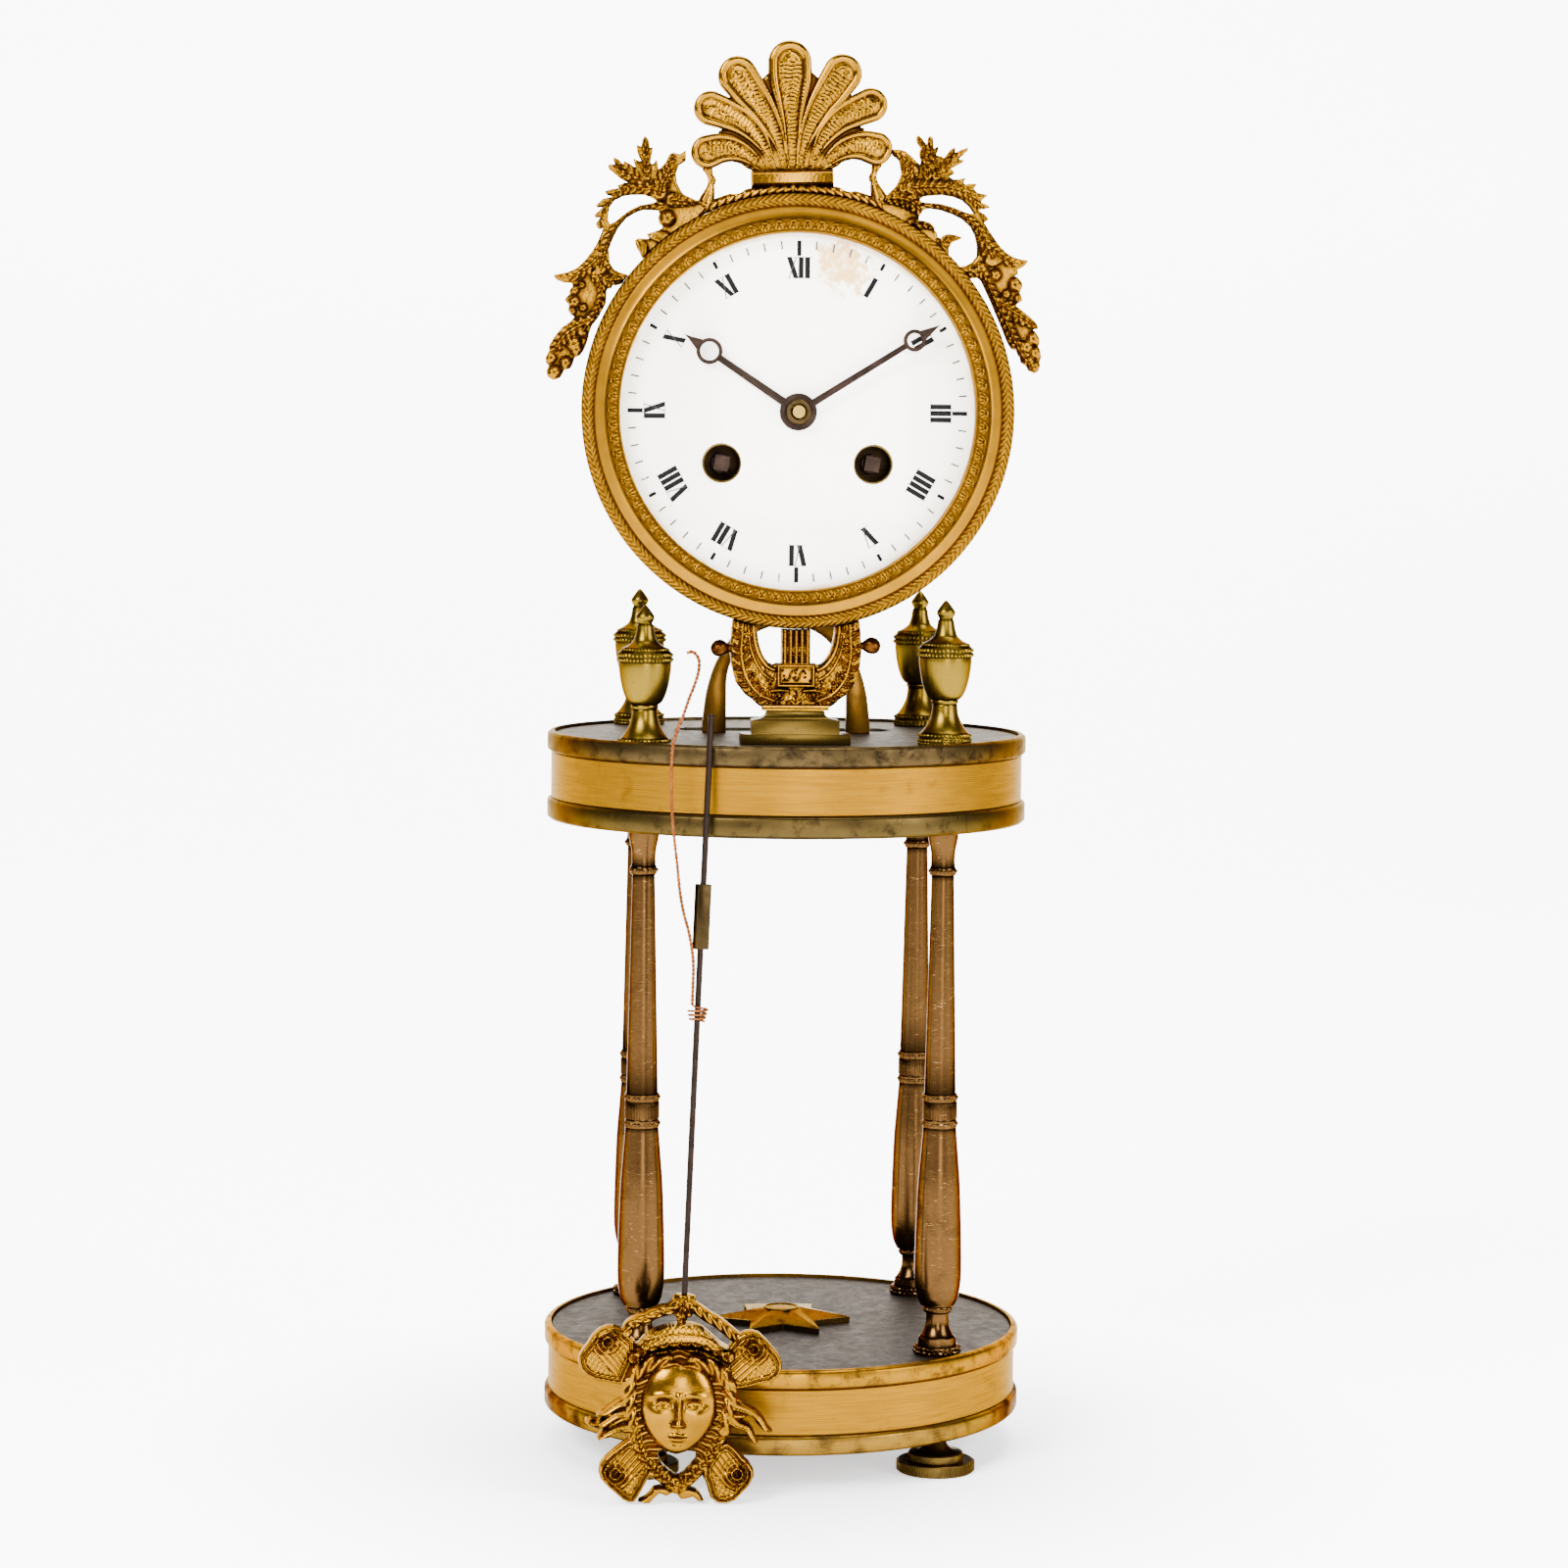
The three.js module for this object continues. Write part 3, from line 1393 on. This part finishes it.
const footLeafShares = [
  [-0.26, 0.98, 0.02], [-0.13, 1.01, 0.035], [0, 1.015, 0.045], [0.13, 1.01, 0.035], [0.26, 0.98, 0.02],
];

function lobe(side, [start, bendX, bendZ, headX, headZ, headRadius]) {
  const size = bezelRadius;
  const head = new THREE.Vector2(side * headX, headZ);
  const bend = new THREE.Vector2(side * bendX, bendZ);
  const out = head.clone().sub(bend).normalize().multiplyScalar(headRadius);
  const root = new THREE.Vector2(side * start, lobeRootShare);
  const path = new THREE.QuadraticBezierCurve(root, bend, head.clone().add(out));
  const stations = lobeWidthShares.map(([along, width]) => {
    const point = path.getPoint(along);
    const halfWidth = width * headRadius * size;
    const halfDepth = crestHalfDepth * THREE.MathUtils.lerp(lobeEdgeDepthShare, 1, width);
    return [point.x * size, dialZ + point.y * size, halfWidth, halfDepth];
  });
  return limb(stations, crestY);
}

function crestBand() {
  const centreZ = dialZ + bezelRadius * (bandBottomShare + bandTopShare) / 2;
  const halfHeight = bezelRadius * (bandTopShare - bandBottomShare) / 2;
  const stations = [-1, 0, 1].map((side) => [
    side * bandHalfWidthShare * bezelRadius, centreZ, halfHeight, crestHalfDepth * bandDepthShare,
  ]);
  return limb(stations, crestY, rodSides);
}

// The palmette sits a little turned round the dial's centre, as on the clock
function addPalmette() {
  const size = bezelRadius;
  const sidesOf = (k) => (k === 0 ? [1] : [-1, 1]);
  const lobes = lobeShares.flatMap((shares, k) => sidesOf(k).map((side) => lobe(side, shares)));
  const struts = [-1, 1].map((side) => shareLimb(
    strutShares.map(([x, z, half]) => [side * x, z, half, half]), size, crestY, dialZ,
  ));
  const footLeaf = shareLimb(
    footLeafShares.map(([x, z, half]) => [x, z, half, crestHalfDepth / size]), size, crestY, dialZ,
  );
  const whole = cut(join(...lobes, crestBand(), footLeaf, ...struts), bezelClearance());
  whole.translate(0, 0, -dialZ);
  whole.rotateY(-crestTurn);
  whole.translate(0, 0, dialZ);
  piece('crest_palmette', whole, giltBronze);
}

// Each spray: a thin leafy plate from its outline and the opening in it, raised limbs as
// [x, z, half width] stations and berries as [x, z, radius], all shares of the bezel's radius

const limbReliefShare = 0.7;
const leftOutlineShares = [
  [-0.528, 1.193], [-0.549, 1.175], [-0.584, 1.181], [-0.603, 1.17], [-0.65, 1.104],
  [-0.661, 1.146], [-0.69, 1.129], [-0.679, 1.202], [-0.692, 1.201], [-0.696, 1.236],
  [-0.715, 1.255], [-0.729, 1.207], [-0.75, 1.212], [-0.75, 1.184], [-0.727, 1.141], [-0.765, 1.15],
  [-0.75, 1.104], [-0.808, 1.138], [-0.813, 1.123], [-0.854, 1.155], [-0.85, 1.124],
  [-0.879, 1.121], [-0.877, 1.101], [-0.779, 1.04], [-0.807, 1.041], [-0.839, 1.026],
  [-0.819, 1.015], [-0.894, 1], [-0.887, 0.985], [-0.854, 0.98], [-0.906, 0.966], [-0.936, 0.936],
  [-0.929, 0.926], [-0.89, 0.934], [-0.943, 0.891], [-0.937, 0.88], [-0.913, 0.883],
  [-0.936, 0.853], [-0.929, 0.834], [-0.903, 0.836], [-0.933, 0.761], [-0.989, 0.679],
  [-1.025, 0.647], [-1.129, 0.615], [-1.117, 0.595], [-1.048, 0.581], [-1.04, 0.567], [-1.077, 0.5],
  [-1.06, 0.483], [-1.061, 0.456], [-1.031, 0.426], [-1.123, 0.336], [-1.164, 0.239],
  [-1.164, 0.215], [-1.15, 0.202], [-1.161, 0.179], [-1.155, 0.15], [-1.126, 0.137],
  [-1.098, 0.147], [-1.078, 0.184], [-1.054, 0.189], [-1.031, 0.241], [-0.986, 0.281],
  [-0.956, 0.385], [-0.891, 0.489], [-0.888, 0.549], [-0.862, 0.574], [-0.811, 0.583],
  [-0.779, 0.618], [-0.853, 0.646], [-0.873, 0.673], [-0.876, 0.706], [-0.86, 0.785],
  [-0.798, 0.882], [-0.718, 0.919], [-0.649, 0.916], [-0.644, 0.86], [-0.627, 0.842],
  [-0.701, 0.807], [-0.687, 0.787], [-0.756, 0.778], [-0.724, 0.699], [-0.525, 0.813],
  [-0.429, 0.926], [-0.429, 0.96], [-0.525, 0.985], [-0.566, 1.044], [-0.571, 1.084],
  [-0.558, 1.124], [-0.526, 1.144],
];
const leftGapShares = [
  [-0.88, 0.888], [-0.877, 0.928], [-0.854, 0.96], [-0.814, 0.982], [-0.718, 0.989],
  [-0.678, 0.975], [-0.653, 0.959], [-0.686, 0.946], [-0.733, 0.939], [-0.782, 0.914],
  [-0.853, 0.86], [-0.873, 0.853], [-0.88, 0.868],
];
const leftLimbShares = [
  [[-0.53, 1.187, 0.022], [-0.59, 1.15, 0.035], [-0.64, 1.07, 0.06], [-0.63, 0.96, 0.06],
    [-0.6, 0.86, 0.05], [-0.5, 0.8, 0.02]],
  [[-0.66, 1.02, 0.05], [-0.76, 1.02, 0.03], [-0.85, 0.97, 0.022], [-0.9, 0.9, 0.02], [-0.915, 0.83, 0.012]],
  [[-0.85, 0.84, 0.028], [-0.907, 0.74, 0.045], [-0.92, 0.65, 0.06],
    [-0.9, 0.59, 0.05]],
  [[-0.92, 0.71, 0.03], [-1.0, 0.635, 0.034], [-1.07, 0.608, 0.024], [-1.135, 0.607, 0.005]],
  [[-0.93, 0.63, 0.04], [-0.87, 0.61, 0.04], [-0.76, 0.6, 0.036]],
  [[-0.91, 0.6, 0.04], [-0.93, 0.5, 0.03], [-0.96, 0.41, 0.04], [-1.03, 0.32, 0.058], [-1.08, 0.25, 0.05],
    [-1.1, 0.2, 0.02]],
  [[-0.6, 0.86, 0.03], [-0.67, 0.815, 0.036], [-0.728, 0.765, 0.034], [-0.75, 0.76, 0.016]],
];
const leftBerryShares = [
  [-0.61, 0.874, 0.048], [-1.037, 0.497, 0.042], [-1.032, 0.549, 0.026],
  [-1.072, 0.5, 0.024], [-1.14, 0.232, 0.034], [-1.126, 0.175, 0.042], [-1.078, 0.212, 0.036],
];
const rightOutlineShares = [
  [0.434, 1.207], [0.489, 1.198], [0.555, 1.143], [0.561, 1.213], [0.537, 1.267], [0.548, 1.275],
  [0.581, 1.235], [0.601, 1.271], [0.613, 1.259], [0.615, 1.215], [0.637, 1.225], [0.626, 1.184],
  [0.655, 1.181], [0.663, 1.167], [0.713, 1.221], [0.716, 1.196], [0.775, 1.221], [0.727, 1.169],
  [0.758, 1.164], [0.693, 1.124], [0.712, 1.11], [0.686, 1.089], [0.709, 1.077], [0.764, 1.081],
  [0.755, 1.061], [0.814, 1.055], [0.804, 1.034], [0.865, 1.005], [0.836, 0.972], [0.879, 0.951],
  [0.828, 0.931], [0.873, 0.896], [0.847, 0.888], [0.956, 0.744], [1.058, 0.707], [1.012, 0.666],
  [1.014, 0.643], [0.997, 0.638], [1.037, 0.589], [1.023, 0.56], [1.035, 0.525], [1.003, 0.502],
  [1.103, 0.42], [1.112, 0.397], [1.078, 0.396], [1.115, 0.353], [1.127, 0.264], [1.113, 0.199],
  [1.097, 0.192], [1.035, 0.239], [1.014, 0.294], [0.989, 0.302], [0.969, 0.334], [0.845, 0.613],
  [0.827, 0.629], [0.794, 0.623], [0.738, 0.637], [0.73, 0.669], [0.802, 0.698], [0.822, 0.725],
  [0.824, 0.775], [0.791, 0.862], [0.752, 0.897], [0.653, 0.936], [0.572, 0.936], [0.552, 0.906],
  [0.549, 0.887], [0.601, 0.876], [0.626, 0.853], [0.638, 0.811], [0.655, 0.804], [0.687, 0.825],
  [0.752, 0.81], [0.704, 0.785], [0.693, 0.716], [0.647, 0.732], [0.468, 0.874], [0.368, 0.936],
  [0.368, 0.969], [0.449, 1.048], [0.469, 1.097],
];
const rightGapShares = [
  [0.56, 0.972], [0.589, 0.966], [0.644, 0.965], [0.782, 0.922], [0.807, 0.919], [0.787, 0.949],
  [0.75, 0.982], [0.709, 0.997], [0.661, 1.006], [0.612, 1.003], [0.572, 0.995], [0.552, 0.983],
];
const rightLimbShares = [
  [[0.47, 1.19, 0.02], [0.51, 1.165, 0.028], [0.56, 1.12, 0.05], [0.585, 1.03, 0.07], [0.57, 0.93, 0.06],
    [0.54, 0.86, 0.05], [0.45, 0.82, 0.02]],
  [[0.6, 1.03, 0.05], [0.69, 1.03, 0.035], [0.78, 0.99, 0.026], [0.835, 0.93, 0.022], [0.855, 0.87, 0.012]],
  [[0.82, 0.866, 0.03], [0.886, 0.787, 0.045], [0.92, 0.7, 0.06],
    [0.9, 0.63, 0.05]],
  [[0.92, 0.76, 0.03], [0.975, 0.715, 0.03], [1.057, 0.708, 0.006]],
  [[0.92, 0.66, 0.04], [0.84, 0.65, 0.04], [0.74, 0.62, 0.036]],
  [[0.9, 0.64, 0.05], [0.925, 0.56, 0.05], [0.965, 0.46, 0.046], [1.035, 0.375, 0.052], [1.08, 0.26, 0.045],
    [1.1, 0.2, 0.02]],
  [[0.53, 0.87, 0.03], [0.62, 0.85, 0.034], [0.67, 0.8, 0.036], [0.7, 0.802, 0.024], [0.748, 0.812, 0.006]],
];
const rightBerryShares = [
  [0.54, 0.87, 0.048], [0.836, 0.673, 0.034], [0.995, 0.6, 0.039], [0.956, 0.558, 0.024],
  [1.005, 0.537, 0.03], [1.07, 0.32, 0.032], [1.1, 0.25, 0.03], [1.102, 0.21, 0.026],
];

function berry(radius, x, z) {
  const geometry = new THREE.SphereGeometry(radius, wireSides, leafSides);
  geometry.scale(1, crestHalfDepth / radius, 1);
  geometry.translate(x, crestY, z);
  return geometry;
}

function addSpray(name, outlineShares, gapShares, limbs, berries) {
  const size = bezelRadius;
  const shape = shapeOf(scaled(outlineShares, size, size, dialZ));
  const gap = scaled(gapShares, size, size, dialZ);
  shape.holes.push(new THREE.Path(gap.map(([x, z]) => new THREE.Vector2(x, z))));
  const solids = [
    facingSlab(shape, crestY - crestLeafDepth, crestY + crestHalfDepth + seatGap),
    ...limbs.map((stations) => shareLimb(
      stations.map(([x, z, half]) => [x, z, half * limbReliefShare, crestHalfDepth / size]), size, crestY,
      dialZ, leafSides,
    )),
    ...berries.map(([x, z, radius]) => berry(radius * size, x * size, dialZ + z * size)),
  ];
  piece(name, cut(join(...solids), bezelClearance()), giltBronze);
}

function addCrest() {
  addPalmette();
  addSpray('crest_left_spray', leftOutlineShares, leftGapShares, leftLimbShares, leftBerryShares);
  addSpray('crest_right_spray', rightOutlineShares, rightGapShares, rightLimbShares, rightBerryShares);
}

// Pendulum: its own group, leaning on the platform rim, with the bob's centre as origin

const upperWingShares = [
  [0.554, 0.508], [0.593, 0.59], [0.668, 0.606], [0.736, 0.59], [0.814, 0.528], [0.886, 0.453],
  [0.941, 0.384], [0.977, 0.306], [0.987, 0.235], [0.958, 0.163], [0.886, 0.111], [0.779, 0.088],
  [0.664, 0.055], [0.554, 0.033], [0.407, 0.094], [0.391, 0.345],
];
const lowerWingShares = [
  [0.476, -0.479], [0.55, -0.531], [0.7, -0.674], [0.746, -0.743], [0.752, -0.811], [0.713, -0.899],
  [0.583, -1.049], [0.498, -1.081], [0.407, -1.078], [0.342, -1.033], [0.29, -0.883],
  [0.257, -0.827], [0.264, -0.717], [0.368, -0.541],
];
const lockShares = [
  [0.531, -0.013], [0.606, -0.078], [0.655, -0.143], [0.739, -0.153], [0.798, -0.205],
  [0.818, -0.274], [0.893, -0.342], [0.902, -0.375], [0.85, -0.371], [0.792, -0.332],
  [0.746, -0.28], [0.713, -0.212], [0.658, -0.228], [0.606, -0.274], [0.664, -0.3], [0.71, -0.352],
  [0.743, -0.42], [0.779, -0.459], [0.733, -0.498], [0.687, -0.466], [0.661, -0.397],
  [0.596, -0.358], [0.524, -0.349], [0.45, -0.296], [0.423, -0.075],
];
const ribbonShares = [
  [-0.01, -0.964], [0.052, -0.954], [0.124, -0.941], [0.195, -0.958], [0.241, -0.997],
  [0.28, -1.065], [0.231, -1.075], [0.173, -1.029], [0.117, -1.049], [0.059, -1.059],
  [-0.01, -1.016],
];
const headHalfShares = [
  [0, 0.658], [0.094, 0.651], [0.192, 0.616], [0.283, 0.56], [0.358, 0.495], [0.42, 0.423],
  [0.479, 0.322], [0.498, 0.212], [0.534, 0.072], [0.541, -0.01], [0.485, -0.147], [0.466, -0.296],
  [0.453, -0.44], [0.404, -0.573], [0.332, -0.697], [0.248, -0.808], [0.16, -0.879],
  [0.052, -0.948], [0, -0.964],
];
const chinGapHalfShares = [
  [0, -0.638], [0.088, -0.612], [0.153, -0.56], [0.182, -0.622], [0.179, -0.694], [0.127, -0.782],
  [0.046, -0.827], [0, -0.834],
];
const wingEyeShares = [[0.7, 0.44], [0.59, -0.79]];
const ropeShares = [
  [0.06, 0.85, 0.045, 0.05], [0.24, 0.76, 0.045, 0.05], [0.4, 0.66, 0.045, 0.05], [0.54, 0.52, 0.045, 0.05],
];
const braidShares = [
  [0.42, -0.1, 0.08, 0.1], [0.42, -0.4, 0.075, 0.1], [0.3, -0.68, 0.07, 0.09], [0.14, -0.85, 0.065, 0.08],
  [-0.04, -0.9, 0.06, 0.07],
];
const hairRollShares = [
  [-0.04, 0.26, 0.1, 0.2], [0.26, 0.22, 0.11, 0.2], [0.45, 0.08, 0.1, 0.16], [0.45, -0.14, 0.08, 0.12],
];
const headbandShares = [
  [-0.46, 0.3, 0.06, 0.12], [-0.24, 0.4, 0.07, 0.2], [0, 0.43, 0.07, 0.23], [0.24, 0.4, 0.07, 0.2],
  [0.46, 0.3, 0.06, 0.12],
];
const stemShares = [[0, 0.6, 0.06, 0.06], [0, 0.86, 0.07, 0.07]];
const faceShares = [0.34, 0.23, 0.49, -0.13];
const capShares = [0.44, 0.2, 0.33, 0.34];

function egg([width, depth, height, rise]) {
  const size = bobHalfWidth;
  const geometry = new THREE.SphereGeometry(size, turnedSides, rodSides);
  geometry.scale(width, depth, height);
  geometry.translate(0, 0, rise * size);
  return geometry;
}

function bothFlats(shares) {
  const outline = scaled(shares, bobHalfWidth, bobHalfWidth);
  return [outline, mirrored(outline)].map((points) => (
    facingSlab(shapeOf(points), -bobFlatDepth, bobBackDepth)
  ));
}

function bothLimbs(shares) {
  return [-1, 1].map((side) => shareLimb(
    shares.map(([x, z, half, deep]) => [side * x, z, half, deep]), bobHalfWidth, 0, 0,
  ));
}

function wingEyes([x, z]) {
  const profile = [
    [0, -bobFlatDepth - wingEyeDepth],
    [wingEyeRadius, -bobFlatDepth],
    [wingEyeRadius, 0],
    [0, 0],
  ];
  const size = bobHalfWidth;
  return [-1, 1].map((side) => turnedFacing(profile, turnedSides, side * x * size, z * size));
}

// The head's flat backing, with the opening between the chin and the braids
function headBacking() {
  const right = scaled(headHalfShares, bobHalfWidth, bobHalfWidth);
  const shape = shapeOf([...right, ...mirrored(right).slice(1, -1)]);
  const gap = scaled(chinGapHalfShares, bobHalfWidth, bobHalfWidth);
  const opening = [...gap, ...mirrored(gap).slice(1, -1)].reverse();
  shape.holes.push(new THREE.Path(opening.map(([x, z]) => new THREE.Vector2(x, z))));
  return facingSlab(shape, -bobFlatDepth, bobBackDepth);
}

function addBob(pendulum) {
  const size = bobHalfWidth;
  const ferrule = turned([
    [0, bobTop - ferruleHeight],
    [ferruleRadius, bobTop - ferruleHeight],
    [ferruleRadius, bobTop],
    [0, bobTop],
  ], turnedSides);
  const flats = [upperWingShares, lowerWingShares, lockShares, ribbonShares].flatMap(bothFlats);
  const rounds = [ropeShares, braidShares, hairRollShares].flatMap(bothLimbs);
  const whole = join(
    egg(faceShares), egg(capShares), ferrule, shareLimb(stemShares, size, 0, 0), headBacking(), ...flats,
    ...wingEyeShares.flatMap(wingEyes), ...rounds, shareLimb(headbandShares, size, 0, 0),
  );
  const front = box(-2 * size, 2 * size, -size, bobBackDepth, -2 * size, 2 * size);
  const socket = turned([
    [0, bobTop - rodSocketDepth],
    [rodRadius + seatGap, bobTop - rodSocketDepth],
    [rodRadius + seatGap, bobTop + cutOverrun],
    [0, bobTop + cutOverrun],
  ], boreSides);
  piece('pendulum_bob', cut(keepInside(whole, front), socket), giltBronze, pendulum);
}

function addRodAndGuide(pendulum) {
  const bottom = bobTop - rodSocketDepth + seatGap;
  const top = bottom + rodLength;
  const rod = turned([[0, bottom], [rodRadius, bottom], [rodRadius, top], [0, top]], wireSides);
  piece('pendulum_rod', rod, darkSteel, pendulum);
  const block = box(-guideWidth / 2, guideWidth / 2, -guideDepth / 2, guideDepth / 2, 0, guideHeight);
  const bore = turned([
    [0, -cutOverrun],
    [rodRadius + seatGap / 2, -cutOverrun],
    [rodRadius + seatGap / 2, guideHeight + cutOverrun],
    [0, guideHeight + cutOverrun],
  ], wireSides);
  const guide = piece('pendulum_guide', cut(block, bore), darkBrass, pendulum);
  guide.rotation.set(0, 0, guideTurn);
  guide.position.set(0, 0, guideRise);
}

// The tie: three turns of wire round the rod, measured for the gap between the turns

class KnotCurve extends THREE.Curve {
  getPoint(t, target = new THREE.Vector3()) {
    const angle = 2 * Math.PI * knotTurns * t;
    const radius = knotBottomRadius + (knotTopRadius - knotBottomRadius) * t;
    const rise = knotRise + knotPitch * knotTurns * t;
    return target.set(radius * Math.cos(angle), radius * Math.sin(angle), rise);
  }
}

function leastGap(curve, radius, samples, skip) {
  const points = curve.getPoints(samples);
  let least = Infinity;
  for (let i = 0; i < points.length; i += 1) {
    for (let k = i + skip; k < points.length; k += 1) {
      least = Math.min(least, points[i].distanceTo(points[k]));
    }
  }
  return least - 2 * radius;
}

function addKnot(pendulum) {
  const curve = new KnotCurve();
  const steps = knotTurnSteps * knotTurns;
  piece('pendulum_knot', tubeAlong(curve, knotWireRadius, wireSides, steps), copper, pendulum);
  const halfTurn = knotTurnSteps * knotSampleSteps / 2;
  const gap = leastGap(curve, knotWireRadius, steps * knotSampleSteps, halfTurn);
  console.log(`least gap between the turns of the tie: ${gap.toFixed(2)} mm`);
}

// The wire's route beside the rod, chosen by hand from its knot up to its bent end
const tieWireRoute = [
  [-1.7, -0.5, 114.6], [-1.75, -0.8, 120], [-1.9, -1.4, 126], [-2.6, -2.4, 131], [-3.9, -2.6, 136.5],
  [-5.6, -1.6, 142], [-6.9, -0.6, 148], [-8, 0, 155.5], [-9.9, 0, 168], [-10.9, 0, 179.5],
  [-11, 0, 190], [-9.8, 0, 195.8], [-8.3, 0, 200], [-6.9, 0, 204.8], [-5.4, 0, 209.2],
  [-4.4, 0, 213.2], [-4.5, 0, 216.8], [-6.2, 0, 218.9], [-8, 0, 218.6],
];

function addTieWire(pendulum) {
  const points = tieWireRoute.map(([x, y, z]) => new THREE.Vector3(x, y, z));
  const curve = new THREE.CatmullRomCurve3(points);
  piece('pendulum_tie_wire', tubeAlong(curve, tieWireRadius, wireSides, tieWireSteps), copper, pendulum);
}

function addPendulum() {
  const pendulum = new THREE.Group();
  addBob(pendulum);
  addRodAndGuide(pendulum);
  addKnot(pendulum);
  addTieWire(pendulum);
  pendulum.rotation.set(-pendulumLeanBack, pendulumLeanSide, 0);
  const along = new THREE.Vector3(0, 0, 1).applyEuler(pendulum.rotation);
  const touchZ = platformZ + platformHeight - rimChamfer;
  const touchRadius = drumRadius + seatGap + rodRadius / along.z;
  const touchY = -Math.sqrt(touchRadius * touchRadius - pendulumTouchX * pendulumTouchX);
  const reach = (touchZ - bobRise) / along.z;
  pendulum.position.set(pendulumTouchX, touchY, touchZ).addScaledVector(along, -reach);
  const lowest = new THREE.Box3().setFromObject(pendulum, true).min.z;
  pendulum.position.z -= lowest;
  clock.add(pendulum);
}

addFeet();
addDrums();
addColumns();
addFinials();
addStar();
addPlinth();
addLyre();
addArch();
addCase();
addDoor();
addBezel();
addDial();
addDialPlate();
addHands();
addCollet();
addMotionWork();
addMovementPlates();
addBarrels();
addCrutch();
addSuspension();
addCountWheel();
addBell();
addHammer();
addCrest();
addPendulum();

// The frame's origin is the middle of the whole clock's footprint, on the floor

const extent = new THREE.Box3().setFromObject(clock, true);
const middle = extent.getCenter(new THREE.Vector3());
clock.position.set(-middle.x, -middle.y, -extent.min.z);

const porticoClock = new THREE.Group();
porticoClock.add(clock);

export default porticoClock;
